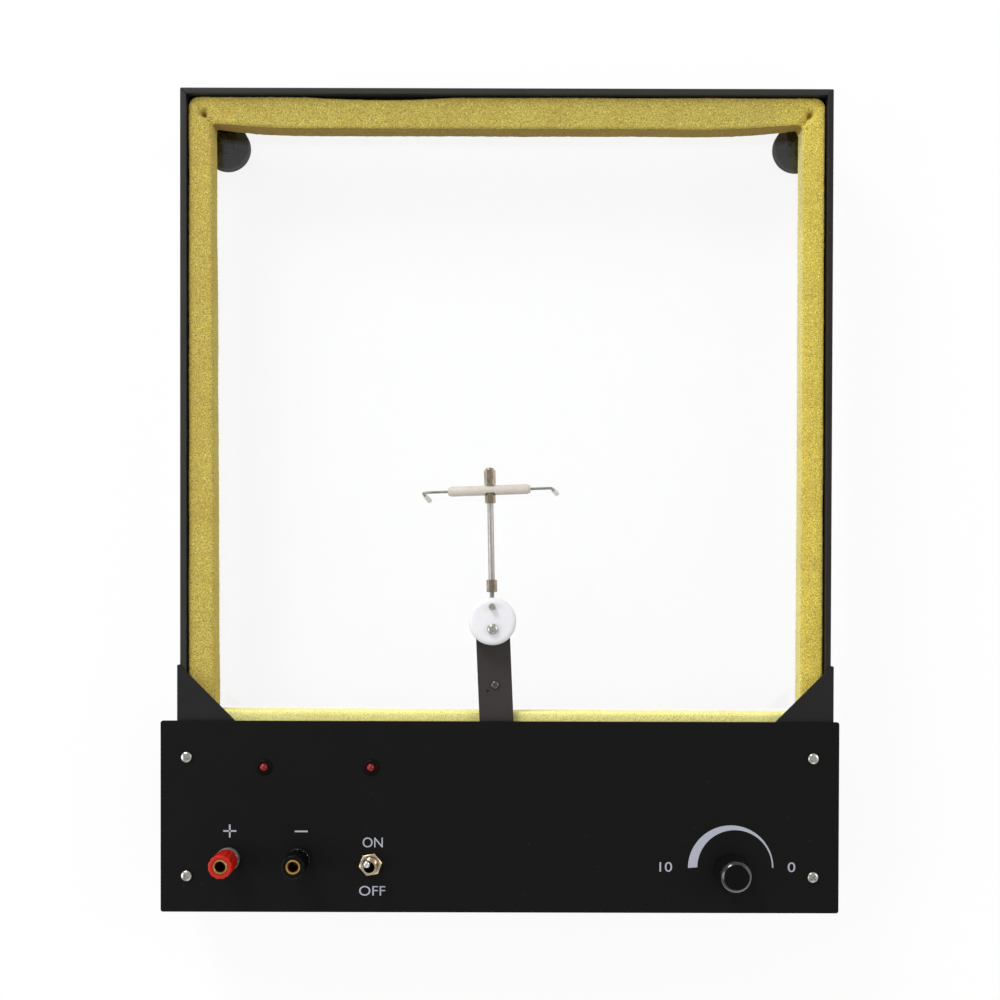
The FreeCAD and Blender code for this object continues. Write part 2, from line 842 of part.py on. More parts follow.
def case_screws():
    """Eight equal screws: four hold the panel to the tray, four hold the tray to the tank."""
    screws = []
    for x, y in panel_screw_places():
        screws.append(place(pan_screw("panel_screw", "screw_length"), x, y, "panel_top"))
    height = "frame_base + tray_screw_rise"
    for x in tray_screw_places():
        screw = pan_screw("tray_screw", "wall_screw_length")
        screws.append(place(screw, x, "tray_rear_face", height, roll=90))
    group("case_screws", screws)


# controls on the panel


def indicator_lamps():
    """Two round-headed lamps, each in its bezel."""
    lenses, bezels = [], []
    for x in ("lamp_left_x", "lamp_right_x"):
        lens = turned(
            "lens",
            [
                (0, "-lamp_depth"),
                ("lamp_radius", "-lamp_depth"),
                ("lamp_radius", "lamp_height"),
                (0, "lamp_height"),
            ],
        )
        round_edges(lens, "lamp_fillet", lambda p: near(p.z, value("lamp_height")))
        lenses.append(place(lens, x, "lamp_y", "panel_top"))
        inner = "lamp_radius + running_gap"
        bezel = turned(
            "bezel",
            [
                (inner, "-bezel_depth"),
                ("bezel_barrel_radius", "-bezel_depth"),
                ("bezel_barrel_radius", 0),
                ("bezel_radius", 0),
                ("bezel_radius", "bezel_height - bezel_chamfer"),
                ("bezel_radius - bezel_chamfer", "bezel_height"),
                (inner, "bezel_height"),
            ],
        )
        bezels.append(place(bezel, x, "lamp_y", "panel_top"))
    group("lamp_lenses", lenses)
    group("lamp_bezels", bezels)


def post_body():
    """The metal core of a binding post, with a socket for a 4 mm plug in its top."""
    top, bottom = "post_height", "-post_depth"
    return turned(
        "post_body",
        [
            (0, bottom),
            ("post_radius", bottom),
            ("post_radius", top),
            ("socket_radius + socket_chamfer", top),
            ("socket_radius", f"{top} - socket_chamfer"),
            ("socket_radius", f"{top} - socket_depth"),
            (0, f"{top} - socket_depth"),
        ],
    )


def post_cap(label):
    """The fluted plastic cap that screws down the post."""
    cap = turned(
        label,
        [
            ("post_radius + running_gap", 0),
            ("cap_radius - cap_edge", 0),
            ("cap_radius", "cap_edge"),
            ("cap_radius", "cap_height - cap_edge"),
            ("cap_radius - cap_edge", "cap_height"),
            ("post_radius + running_gap", "cap_height"),
        ],
    )
    flute = Outline(cap).circle("cap_radius + cap_flute_set", 0, "cap_flute_radius")
    repeat_round(cap, pocket(cap, flute, "cap_height", reverse=True), flute, "cap_flutes")
    return node(cap, label)


def binding_posts():
    """Two posts: collar, core, nut below the panel, captive washer and cap."""
    collars, cores, nuts = [], [], []
    bore = "post_radius + running_gap"
    for side, x in (("red", "post_left_x"), ("black", "post_right_x")):
        collar = turned(
            "collar",
            [
                (bore, "-panel_thick"),
                ("collar_neck_radius", "-panel_thick"),
                ("collar_neck_radius", 0),
                ("collar_radius", 0),
                ("collar_radius", "collar_height"),
                (bore, "collar_height"),
            ],
        )
        collars.append(place(collar, x, "control_y", "panel_top"))
        fibre = ring("fibre", bore, "collar_radius", "-fibre_thick", 0)
        collars.append(place(fibre, x, "control_y", "panel_z"))
        cores.append(place(post_body(), x, "control_y", "panel_top"))
        hexagon = nut("post_nut", "post_nut_flats", bore, "post_nut_height")
        nuts.append(place(hexagon, x, "control_y", "panel_z - fibre_thick - post_nut_height"))
        washer = ring(f"washer_{side}", bore, "washer_radius", 0, "washer_thick")
        place(node(washer, f"washer_{side}"), x, "control_y", "washer_z")
        place(post_cap(f"cap_{side}"), x, "control_y", "cap_z")
    group("post_collars", collars)
    group("post_bodies", cores)
    group("post_nuts", nuts)


def toggle_switch():
    """The switch's case with its threaded bush, the hexagon nut and the lever."""
    case = new_body("toggle_body")
    half_length, half_width = "toggle_length / 2", "toggle_width / 2"
    block = Outline(case, offset="-panel_thick")
    block.rectangle(f"-{half_width}", f"-{half_length}", half_width, half_length)
    pad(case, block, "toggle_depth", reverse=True)
    bush = Outline(case, offset="-panel_thick").circle(0, 0, "toggle_bush_radius")
    pad(case, bush, "toggle_bush_height + panel_thick")
    floor = "toggle_pivot_height - lever_ball_radius - slide_gap"
    bore = Outline(case, offset=floor).circle(0, 0, "toggle_bore_radius")
    pocket(case, bore, "toggle_bush_height", reverse=True)
    place(node(case, "toggle_body"), "toggle_x", "toggle_y", "panel_top", yaw="toggle_yaw")
    hexagon = nut("toggle_nut", "toggle_nut_flats", "toggle_bush_radius + running_gap", "toggle_nut_height")
    place(node(hexagon, "toggle_nut"), "toggle_x", "toggle_y", "panel_top", yaw="toggle_yaw")
    ball = DOC.addObject("Part::Sphere", "lever_ball")
    bind(ball, "Radius", "lever_ball_radius")
    stem = DOC.addObject("Part::Cone", "lever_stem")
    bind(stem, "Radius1", "lever_neck_radius")
    bind(stem, "Radius2", "lever_stem_radius")
    bind(stem, "Height", "lever_length")
    tip = DOC.addObject("Part::Sphere", "lever_tip")
    bind(tip, "Radius", "lever_tip_radius")
    place(tip, 0, 0, "lever_length")
    lever = DOC.addObject("Part::MultiFuse", "toggle_lever")
    lever.Shapes = [ball, stem, tip]
    place(node(lever, "toggle_lever"), "toggle_x", "toggle_y", "lever_pivot_z", "toggle_yaw", 0, "-lever_tilt")


def speed_dial():
    """The potentiometer, its nut and shaft, and the fluted knob."""
    bore = "shaft_radius + running_gap"
    body = turned(
        "pot_body",
        [
            (0, 0),
            ("pot_radius", 0),
            ("pot_radius", "pot_height"),
            ("pot_bush_radius", "pot_height"),
            ("pot_bush_radius", "pot_height + pot_drop + panel_thick + pot_bush_height"),
            (bore, "pot_height + pot_drop + panel_thick + pot_bush_height"),
            (bore, "pot_height - shaft_depth + pot_drop"),
            (0, "pot_height - shaft_depth + pot_drop"),
        ],
    )
    place(node(body, "pot_body"), "dial_x", "dial_y", "pot_z")
    hexagon = nut("pot_nut", "pot_nut_flats", "pot_bush_radius + running_gap", "pot_nut_height")
    place(node(hexagon, "pot_nut"), "dial_x", "dial_y", "panel_top")
    foot = "panel_z - shaft_depth + slide_gap"
    shaft = turned(
        "pot_shaft",
        [
            (0, foot),
            ("shaft_radius", foot),
            ("shaft_radius", "panel_top + shaft_height"),
            (0, "panel_top + shaft_height"),
        ],
    )
    place(node(shaft, "pot_shaft"), "dial_x", "dial_y")
    knob = turned(
        "knob",
        [
            ("knob_recess_radius", 0),
            ("knob_radius - knob_edge", 0),
            ("knob_radius", "knob_edge"),
            ("knob_top_radius + knob_edge", "knob_height - knob_crown_height"),
            ("knob_top_radius + knob_edge - knob_crown_width", "knob_height"),
            (0, "knob_height"),
            (0, "shaft_height - knob_gap"),
            (bore, "shaft_height - knob_gap"),
            (bore, "knob_recess_height"),
            ("knob_recess_radius", "knob_recess_height"),
        ],
    )
    flute = Outline(knob, offset="knob_skirt_height")
    flute.circle("knob_radius + knob_flute_set", 0, "knob_flute_radius")
    repeat_round(knob, pocket(knob, flute, "knob_height", reverse=True), flute, "knob_flutes")
    place(node(knob, "knob"), "dial_x", "dial_y", "knob_z")


def control_board():
    """The speed-control board under the potentiometer, with its larger components."""
    board = new_body("control_board")
    half = "board_length / 2"
    low = "-(pot_radius + board_front)"
    high = f"{low} + board_width"
    sheet = Outline(board).rectangle(f"-{half}", low, half, high)
    pad(board, sheet, "board_thick", reverse=True)
    for x in ("-capacitor_reach", "-capacitor_reach + capacitor_spacing"):
        can = Outline(board).circle(x, f"{high} - capacitor_radius * 2", "capacitor_radius")
        pad(board, can, "capacitor_height")
    heatsink = Outline(board).rectangle(
        "heatsink_shift - heatsink_length / 2",
        f"{high} - heatsink_margin - heatsink_width",
        "heatsink_shift + heatsink_length / 2",
        f"{high} - heatsink_margin",
    )
    pad(board, heatsink, "heatsink_height")
    terminal = Outline(board).rectangle(
        f"{half} - terminal_side_margin - terminal_depth",
        f"{high} - terminal_rear_margin - terminal_width",
        f"{half} - terminal_side_margin",
        f"{high} - terminal_rear_margin",
    )
    pad(board, terminal, "terminal_height")
    place(node(board, "control_board"), "dial_x + board_shift", "dial_y", "pot_z")


# rocking arm


def arm_bracket():
    """A folded bracket on the tray's rear wall, with two rubber bushes for the pivot pin."""
    bracket = new_body("arm_bracket")
    half = "bracket_width / 2"
    low, high = "-bracket_below_pin", "bracket_above_pin"
    back = "pivot_set_back - sheet_thick"
    plate = Outline(bracket, "XZ_Plane", f"-({back} - bracket_thick)")
    plate.rectangle(f"-{half}", low, half, "arm_notch_z - pivot_z - bracket_notch_gap")
    pad(bracket, plate, "bracket_thick", reverse=True)
    for side in (-1, 1):
        inner, outer = f"{side} * ({half} - bracket_thick)", f"{side} * {half}"
        sole = Outline(bracket, offset=low)
        sole.rectangle(inner, f"{back} - bracket_reach", outer, back)
        pad(bracket, sole, "bracket_below_pin + bracket_above_pin")
    eye = Outline(bracket, "YZ_Plane", f"-{half}").circle(0, 0, "bush_radius + running_gap")
    pocket(bracket, eye, "bracket_width", reverse=True)
    place(node(bracket, "arm_bracket"), "arm_x", "pivot_y", "pivot_z")
    bushes = []
    bore = "pin_radius + running_gap"
    for side in (-1, 1):
        inner, outer = "-bush_flange_thick", "bracket_thick + bush_flange_thick"
        bush = turned(
            "bush",
            [
                (bore, inner),
                ("bush_flange_radius", inner),
                ("bush_flange_radius", 0),
                ("bush_radius", 0),
                ("bush_radius", "bracket_thick"),
                ("bush_flange_radius", "bracket_thick"),
                ("bush_flange_radius", outer),
                (bore, outer),
            ],
        )
        start = f"arm_x + {side} * ({half} - bracket_thick)"
        bushes.append(place(bush, start, "pivot_y", "pivot_z", pitch=90 * side))
    group("arm_bushes", bushes)
    pin = turned("pivot_pin", [(0, 0), ("pin_radius", 0), ("pin_radius", "pin_length"), (0, "pin_length")])
    place(node(pin, "pivot_pin"), "arm_x - pin_length / 2", "pivot_y", "pivot_z", pitch=90)


def arm_leaf():
    """The inner leaf of the arm, with two ears bent down round the pivot pin."""
    leaf = new_body("arm_leaf")
    half = "leaf_width / 2"
    top = "leaf_z - pivot_z"
    plate = Outline(leaf, offset=top).rectangle(f"-{half}", "-leaf_front", half, "leaf_rear")
    pad(leaf, plate, "leaf_thick")
    for side in (-1, 1):
        ear = Outline(leaf, "YZ_Plane", f"{side} * {half} - {(side + 1) // 2} * ear_thick")
        ear.polygon(
            [
                ("-ear_half_length", f"{top} + leaf_thick / 2"),
                ("-ear_half_length", 0),
                ("-ear_foot_half_length", "-ear_below_pin"),
                ("ear_foot_half_length", "-ear_below_pin"),
                ("ear_half_length", 0),
                ("ear_half_length", f"{top} + leaf_thick / 2"),
            ]
        )
        pad(leaf, ear, "ear_thick")
    eye = Outline(leaf, "YZ_Plane", f"-{half}").circle(0, 0, "pin_radius + running_gap / 2")
    pocket(leaf, eye, "leaf_width", reverse=True)
    holes = Outline(leaf, offset=top)
    for y in arm_screw_reaches():
        holes.circle(0, y, "arm_screw_radius + hole_gap")
    pocket(leaf, holes, "leaf_thick", reverse=True)
    place(node(leaf, "arm_leaf"), "arm_x", "pivot_y", "pivot_z")


def arm_screw_reaches():
    """The screws along the arm, measured from its pivot: one for the strip, two for the motor clip."""
    middle = "-motor_set_back"
    return ("arm_screw_reach", f"{middle} + clip_screw_reach", f"{middle} - clip_screw_reach")


def arm_strip():
    """The outer strip, clamped on the leaf by one screw and swung a little to one side."""
    strip = new_body("arm_strip")
    half = "strip_width / 2"
    plate = Outline(strip).rectangle(f"-{half}", "-strip_front", half, "strip_rear")
    pad(strip, plate, "strip_thick")
    holes = Outline(strip).circle(0, 0, "arm_screw_radius + hole_gap")
    holes.circle(0, "disc_screw_reach", "disc_screw_radius + running_gap")
    pocket(strip, holes, "strip_thick", reverse=True)
    dimple = Outline(strip, offset="strip_thick").circle("-dimple_x", "-dimple_y", "dimple_radius")
    pocket(strip, dimple, "dimple_depth")
    place(node(strip, "arm_strip"), "arm_x", "arm_screw_y", "strip_z", yaw="strip_yaw")


def arm_fasteners():
    """Three equal screws and nuts along the arm."""
    parts = []
    strip_screw, *clip_screws = arm_screw_reaches()
    seats = [(strip_screw, "strip_top", "leaf_z")]
    seats += [(reach, "strip_z", "leaf_z - clip_thick") for reach in clip_screws]
    for reach, seat, below in seats:
        y = f"pivot_y + {reach}"
        head = ("arm_screw_radius", "arm_screw_head", "arm_screw_head_height")
        parts.append(place(pan_screw("arm_screw", "arm_screw_length", *head), "arm_x", y, seat))
        hexagon = nut("arm_nut", "arm_nut_flats", "arm_screw_radius + running_gap", "arm_nut_height")
        parts.append(place(hexagon, "arm_x", y, f"{below} - arm_nut_height"))
    group("arm_fasteners", parts)


def motor():
    """The motor's can across the arm, its clip, and the eccentric weight on its shaft."""
    bore = "motor_shaft_radius + running_gap"
    can = turned(
        "motor_can",
        [
            (0, "-motor_boss_length"),
            ("motor_boss_radius", "-motor_boss_length"),
            ("motor_boss_radius", 0),
            ("motor_radius - motor_chamfer", 0),
            ("motor_radius", "motor_chamfer"),
            ("motor_radius", "motor_length"),
            ("motor_boss_radius", "motor_length"),
            ("motor_boss_radius", "motor_length + motor_boss_length"),
            (bore, "motor_length + motor_boss_length"),
            (bore, "motor_length - motor_radius"),
            (0, "motor_length - motor_radius"),
        ],
    )
    place(node(can, "motor_can"), "motor_nose_x - motor_length", "motor_y", "motor_z", pitch=90)
    motor_clip()
    weight = new_body("eccentric_weight")
    start = "motor_boss_length + weight_gap"
    sector = Outline(weight, offset=start)
    sides = [step * 30 - 90 for step in range(7)]
    rim = [(f"weight_radius * cos({a})", f"weight_radius * sin({a})") for a in sides]
    pad(weight, sector.polygon(rim), "weight_thick")
    hub = Outline(weight, offset=start).circle(0, 0, "weight_hub_radius")
    pad(weight, hub, "weight_thick")
    shaft_foot = "-motor_radius + slide_gap"
    shaft = Outline(weight, offset=shaft_foot).circle(0, 0, "motor_shaft_radius")
    pad(weight, shaft, f"motor_shaft_length - ({shaft_foot})")
    place(node(weight, "eccentric_weight"), "motor_nose_x", "motor_y", "motor_z", pitch=90)


def motor_clip():
    """A strap round the can, with an ear each side that is screwed under the leaf."""
    clip = new_body("motor_clip")
    inner = "motor_radius + running_gap"
    outer = "motor_radius + clip_thick"
    ear = f"{outer} + clip_ear"
    start = "-clip_width / 2"
    round_part = Outline(clip, "YZ_Plane", start).circle(0, 0, outer)
    pad(clip, round_part, "clip_width")
    sides = Outline(clip, "YZ_Plane", start).rectangle(f"-({outer})", 0, outer, outer)
    pad(clip, sides, "clip_width")
    ears = Outline(clip, "YZ_Plane", start).rectangle(f"-({ear})", "motor_radius", ear, outer)
    pad(clip, ears, "clip_width")
    hollow = Outline(clip, "YZ_Plane", start).circle(0, 0, inner)
    pocket(clip, hollow, "clip_width", reverse=True)
    throat = Outline(clip, "YZ_Plane", start).rectangle(f"-({inner})", 0, inner, outer)
    pocket(clip, throat, "clip_width", reverse=True)
    holes = Outline(clip, offset="motor_radius")
    for y in ("clip_screw_reach", "-clip_screw_reach"):
        holes.circle(0, y, "arm_screw_radius + hole_gap")
    pocket(clip, holes, "clip_thick", reverse=True)
    place(node(clip, "motor_clip"), "arm_x", "motor_y", "motor_z")


# disc, rod and dippers


def vibrator_disc():
    """The nylon disc, drilled for its screw, for the rod and for the set screw over the rod."""
    disc = new_body("vibrator_disc")
    pad(disc, Outline(disc).circle(0, "disc_offset", "disc_radius"), "disc_height")
    chamfer_edges(disc, "disc_chamfer", lambda p: near(p.z, 0) or near(p.z, value("disc_height")))
    hole = Outline(disc).circle(0, 0, "disc_screw_radius + running_gap")
    pocket(disc, hole, "disc_height", reverse=True)
    set_hole = Outline(disc, offset="disc_height / 2")
    set_hole.circle(0, "set_screw_reach", "set_screw_radius + running_gap")
    pocket(disc, set_hole, "disc_height / 2", reverse=True)
    bore = Outline(disc, "XZ_Plane", "-rod_bore_start")
    bore.circle(0, "disc_height / 2", "rod_stud_radius + running_gap")
    pocket(disc, bore, "disc_radius + disc_offset", reverse=False)
    place(node(disc, "vibrator_disc"), "disc_screw_x", "disc_screw_y", "disc_z", yaw="rod_yaw")
    shank = "disc_height + 2 * slide_gap + strip_thick + disc_nut_height"
    screw = pan_screw("disc_screw", shank, "disc_screw_radius", "disc_screw_head", "disc_screw_head_height")
    place(screw, "disc_screw_x", "disc_screw_y", "disc_top + slide_gap")
    hexagon = nut("disc_nut", "disc_nut_flats", "disc_screw_radius + running_gap", "disc_nut_height")
    place(hexagon, "disc_screw_x", "disc_screw_y", "strip_z - disc_nut_height")
    group("disc_fasteners", [screw, hexagon])
    foot = "disc_height / 2 + rod_stud_radius + slide_gap"
    top = "disc_height + set_screw_height"
    grub = turned(
        "set_screw",
        [
            (0, foot),
            ("set_screw_radius", foot),
            ("set_screw_radius", f"{top} - set_screw_chamfer"),
            ("set_screw_radius - set_screw_chamfer", top),
            (0, top),
        ],
    )
    place(
        node(grub, "set_screw"),
        "disc_screw_x - set_screw_reach * sin(rod_yaw)",
        "disc_screw_y + set_screw_reach * cos(rod_yaw)",
        "disc_z",
    )


def along_rod(thing, reach="0"):
    """Lays a sub-part that was made upright along the rod, at a distance from the disc's screw."""
    x = f"disc_screw_x - ({reach}) * sin(rod_yaw)"
    y = f"disc_screw_y + ({reach}) * cos(rod_yaw)"
    return place(thing, x, y, "rod_z", yaw="rod_yaw", roll=-90)


def rod_and_nuts():
    """The rod with its thinner ends, the two hexagon nuts on it and the domed cap nut."""
    shoulder = "clamp_nut_start + rod_shoulder"
    rod = turned(
        "dipper_rod",
        [
            (0, "rod_stud_start"),
            ("rod_stud_radius", "rod_stud_start"),
            ("rod_stud_radius", "rod_start"),
            ("rod_radius", "rod_start"),
            ("rod_radius", shoulder),
            ("rod_stud_radius", shoulder),
            ("rod_stud_radius", "rod_end"),
            (0, "rod_end"),
        ],
    )
    along_rod(node(rod, "dipper_rod"))
    bore = "rod_radius + running_gap"
    nuts = [
        along_rod(nut("coupling", "rod_nut_flats", bore, "coupling_length"), "coupling_start"),
        along_rod(nut("clamp_nut", "rod_nut_flats", bore, "clamp_nut_length"), "clamp_nut_start"),
    ]
    group("rod_nuts", nuts)
    cap = new_body("cap_nut")
    flats_end = "cap_nut_length - cap_dome_height"
    pad(cap, Outline(cap).hexagon("cap_nut_flats"), flats_end)
    dome = Outline(cap, offset=flats_end).circle(0, 0, "cap_nut_flats / 2 - cap_dome_inset")
    pad(cap, dome, "cap_dome_height")
    round_edges(cap, "cap_dome_fillet", lambda p: near(p.z, value("cap_nut_length")))
    hole = Outline(cap).circle(0, 0, "rod_stud_radius + running_gap")
    pocket(cap, hole, "cap_nut_length - cap_nut_roof", reverse=True)
    along_rod(node(cap, "cap_nut"), "cap_nut_start")


def cross_tube():
    """The white tube across the rod, spot-faced for the clamp nut and bored for the wires."""
    tube = new_body("cross_tube")
    body_section = Outline(tube, "YZ_Plane", "-tube_left").circle(0, 0, "tube_radius")
    pad(tube, body_section, "tube_left + tube_right")
    hole = Outline(tube, "XZ_Plane", "-tube_radius").circle(0, 0, "rod_stud_radius + running_gap")
    pocket(tube, hole, "tube_radius * 2", reverse=True)
    spot = Outline(tube, "XZ_Plane", "tube_radius - tube_spot_depth")
    spot.circle(0, 0, "rod_nut_flats / 2 / cos(30) + tube_spot_gap")
    pocket(tube, spot, "tube_spot_depth", reverse=True)
    for start, length, flip in (
        ("-tube_left", "tube_left - tube_bore_end", True),
        ("tube_right", "tube_right - tube_bore_end", False),
    ):
        bore = Outline(tube, "YZ_Plane", start).circle(0, 0, "wire_radius + running_gap")
        pocket(tube, bore, length, reverse=flip)
    place(node(tube, "cross_tube"), "tube_x", "tube_y", "rod_z", yaw="tube_yaw")


def dipper(label, side, wire_reach, lean, forward, tube_end):
    """A wire held in one end of the cross tube and bent down into a dipping point with a sleeve."""
    reach = value(wire_reach)
    start = value(f"{tube_end} - wire_insert")
    drop = math.hypot(value("wire_drop"), value(forward))
    bend = FreeCAD.Vector(side * reach, 0, 0)
    tail = FreeCAD.Vector(side * start, 0, 0)
    tip = bend + FreeCAD.Vector(side * value(lean), 0, -drop)
    path = Part.Wire(rounded_path(tail, bend, tip, value("wire_bend")))
    section = Part.Wire(Part.makeCircle(value("wire_radius"), tail, FreeCAD.Vector(1, 0, 0)))
    wire = path.makePipeShell([section], True, False)
    along = (tip - bend).normalize()
    sleeve_start = tip - along * value("sleeve_length")
    shell = Part.makeCylinder(value("sleeve_radius"), value("sleeve_length"), sleeve_start, along)
    core = Part.makeCylinder(value("wire_radius"), value("sleeve_length"), sleeve_start, along)
    pieces = Part.makeCompound([wire, shell.cut(core)])
    feature = DOC.addObject("Part::Feature", label)
    feature.Shape = pieces
    tilt = -math.degrees(math.atan2(value(forward), value("wire_drop")))
    turn = FreeCAD.Rotation(value("tube_yaw"), 0, tilt)
    feature.Placement = FreeCAD.Placement(
        FreeCAD.Vector(value("tube_x"), value("tube_y"), value("rod_z")), turn
    )
    return node(feature, label)


def rounded_path(start, knee, end, radius):
    """A straight run, a tangent arc and a second straight run."""
    into, out = (knee - start).normalize(), (end - knee).normalize()
    turn = into.getAngle(out)
    trim = radius * math.tan(turn / 2)
    first, last = knee - into * trim, knee + out * trim
    bisector = (out - into).normalize()
    middle = knee + bisector * (radius / math.cos(turn / 2) - radius)
    return [
        Part.LineSegment(start, first).toShape(),
        Part.Arc(first, middle, last).toShape(),
        Part.LineSegment(last, end).toShape(),
    ]


def build():
    """Makes every sub-part."""
    fill_sheet()
    tank_frame()
    glass_and_seal()
    foam_beaches()
    gusset("gusset_left", "tank_left_x", 1)
    gusset("gusset_right", "tank_right_x", -1)
    foot_plates()
    levelling_feet()
    control_tray()
    panel_plate()
    case_screws()
    indicator_lamps()
    binding_posts()
    toggle_switch()
    speed_dial()
    control_board()
    arm_bracket()
    arm_leaf()
    arm_strip()
    arm_fasteners()
    motor()
    vibrator_disc()
    rod_and_nuts()
    cross_tube()
    dipper("dipper_left", -1, "left_wire_reach", "left_tip_lean", "left_tip_forward", "tube_left")
    dipper("dipper_right", 1, "right_wire_reach", "right_tip_lean", "right_tip_forward", "tube_right")
    DOC.recompute()


def check():
    """Stops on a feature that failed, or on a sub-part with no sound solid."""
    failed = [o.Name for o in DOC.Objects if {"Invalid", "Error"} & set(o.State)]
    if failed:
        raise RuntimeError(f"these objects did not compute: {failed}")
    for thing in NODES:
        shape = thing.Shape
        if shape.isNull() or not shape.isValid() or not shape.Solids:
            raise RuntimeError(f"{thing.Label} has no sound shape")


def write():
    """Writes each sub-part to its own file."""
    os.makedirs("parts", exist_ok=True)
    for thing in NODES:
        thing.Shape.exportStep(f"parts/{thing.Label}.step")


if __name__ == "__main__":
    build()
    check()
    write()
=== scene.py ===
"""Dresses a ripple tank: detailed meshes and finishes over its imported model, and a plain studio.

Every sub-assembly is a class that holds its own sizes, builds its pieces and dresses them. Lengths
inside a form are in millimetres; a finished piece is in metres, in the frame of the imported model.
"""

import json
import logging
import math
from collections.abc import Callable, Iterable, Sequence
from dataclasses import dataclass, field
from enum import Enum

import bmesh
import bpy
from mathutils import Matrix, Vector, noise

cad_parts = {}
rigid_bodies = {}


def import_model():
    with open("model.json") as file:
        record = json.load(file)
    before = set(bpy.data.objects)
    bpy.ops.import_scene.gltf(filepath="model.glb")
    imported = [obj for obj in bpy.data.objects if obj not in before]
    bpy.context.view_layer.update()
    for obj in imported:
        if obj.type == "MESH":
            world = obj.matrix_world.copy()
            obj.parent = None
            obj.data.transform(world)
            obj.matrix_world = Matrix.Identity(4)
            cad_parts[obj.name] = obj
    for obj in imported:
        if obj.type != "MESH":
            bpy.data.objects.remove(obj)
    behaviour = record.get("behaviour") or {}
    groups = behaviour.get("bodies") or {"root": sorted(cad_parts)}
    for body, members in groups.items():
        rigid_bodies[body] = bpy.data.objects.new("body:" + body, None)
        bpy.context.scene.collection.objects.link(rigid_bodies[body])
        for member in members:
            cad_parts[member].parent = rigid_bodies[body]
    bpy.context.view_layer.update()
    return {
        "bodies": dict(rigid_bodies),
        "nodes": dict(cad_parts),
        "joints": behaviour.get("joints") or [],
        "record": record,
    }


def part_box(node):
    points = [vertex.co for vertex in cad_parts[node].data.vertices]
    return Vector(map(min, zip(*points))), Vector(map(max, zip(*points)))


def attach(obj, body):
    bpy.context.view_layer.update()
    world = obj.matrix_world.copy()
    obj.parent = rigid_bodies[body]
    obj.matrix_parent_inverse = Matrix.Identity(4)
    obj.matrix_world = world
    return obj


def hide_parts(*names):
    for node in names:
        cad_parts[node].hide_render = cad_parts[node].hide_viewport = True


LOG = logging.getLogger("ripple_tank")
MM = 0.001
FIT = 0.05

Pair = tuple[float, float]
Triple = tuple[float, float, float]
Tone = tuple[int, int, int]
Limit = Callable[[float], float]
Vert = bmesh.types.BMVert
Loose = bmesh.types.BMesh
Thing = bpy.types.Object
Socket = bpy.types.NodeSocket


class Side(Enum):
    """A side of the tank, with the direction that points outwards from it."""

    LEFT = (-1, 0)
    RIGHT = (1, 0)
    REAR = (0, 1)
    FRONT = (0, -1)


# small helpers


def linear(tone: Tone) -> tuple[float, float, float, float]:
    """Turns a screen colour into the light values that a shader takes.

    Args:
        tone: red, green and blue from 0 to 255.

    Returns:
        Linear red, green, blue and full opacity.
    """

    def channel(level: int) -> float:
        """One channel of the screen's transfer curve."""
        share = level / 255
        return share / 12.92 if share <= 0.04045 else ((share + 0.055) / 1.055) ** 2.4

    return (*(channel(level) for level in tone), 1.0)


def scaled(tone: Tone, share: float) -> Tone:
    """A screen colour made lighter or darker by a share."""
    return tuple(min(255, round(level * share)) for level in tone)


def spot(
    x: float = 0, y: float = 0, z: float = 0, yaw: float = 0, pitch: float = 0, roll: float = 0
) -> Matrix:
    """A place for a piece.

    Args:
        x: distance along X, in millimetres.
        y: distance along Y.
        z: distance along Z.
        yaw: turn about Z in degrees, made last.
        pitch: turn about Y.
        roll: turn about X, made first.

    Returns:
        The matrix that puts a piece there.
    """
    turn = Matrix.Rotation(math.radians(yaw), 4, "Z")
    turn = turn @ Matrix.Rotation(math.radians(pitch), 4, "Y")
    turn = turn @ Matrix.Rotation(math.radians(roll), 4, "X")
    return Matrix.Translation((x, y, z)) @ turn


def polar(reach: float, angle: float) -> Pair:
    """The point at a distance and an angle in radians."""
    return reach * math.cos(angle), reach * math.sin(angle)


def turns(sides: int) -> list[float]:
    """Even angles once round, in radians."""
    return [math.tau * side / sides for side in range(sides)]


def arc(radius: float, rise: float, degrees: Iterable[int]) -> list[Pair]:
    """Points of a round profile whose centre lies on the axis at a height."""
    return [(x, rise + y) for x, y in (polar(radius, math.radians(angle)) for angle in degrees)]


def barrel(radius: float, low: float, high: float, bore: float = 0) -> list[Pair]:
    """The profile of a plain bar, or of a tube where it has a bore."""
    return [(bore, low), (radius, low), (radius, high), (bore, high)]


def clamped(value: float) -> float:
    """A value held between 0 and 1."""
    return max(0.0, min(1.0, value))


def present(name: str, data: bpy.types.ID) -> Thing:
    """A new object in the scene."""
    thing = bpy.data.objects.new(name, data)
    bpy.context.scene.collection.objects.link(thing)
    return thing


def softened(corners: Sequence[Pair], radius: float, steps: int = 3) -> list[Pair]:
    """Rounds the inner corners of a profile.

    Args:
        corners: the profile's corners in order.
        radius: how far from a corner its rounding starts, at most.
        steps: how many pieces a rounding has.

    Returns:
        The profile with its ends kept and its other corners rounded.
    """
    points = [Vector(corner) for corner in corners]
    result = [points[0]]
    for before, corner, after in zip(points, points[1:], points[2:]):
        back, ahead = before - corner, after - corner
        straight = abs(back.normalized().dot(ahead.normalized())) > 0.995
        trim = min(radius, back.length * 0.45, ahead.length * 0.45)
        if straight or trim < 1e-4:
            result.append(corner)
            continue
        start, end = corner + back.normalized() * trim, corner + ahead.normalized() * trim
        for step in range(steps + 1):
            share = step / steps
            inner, outer = start.lerp(corner, share), corner.lerp(end, share)
            result.append(inner.lerp(outer, share))
    result.append(points[-1])
    return [(point.x, point.y) for point in result]


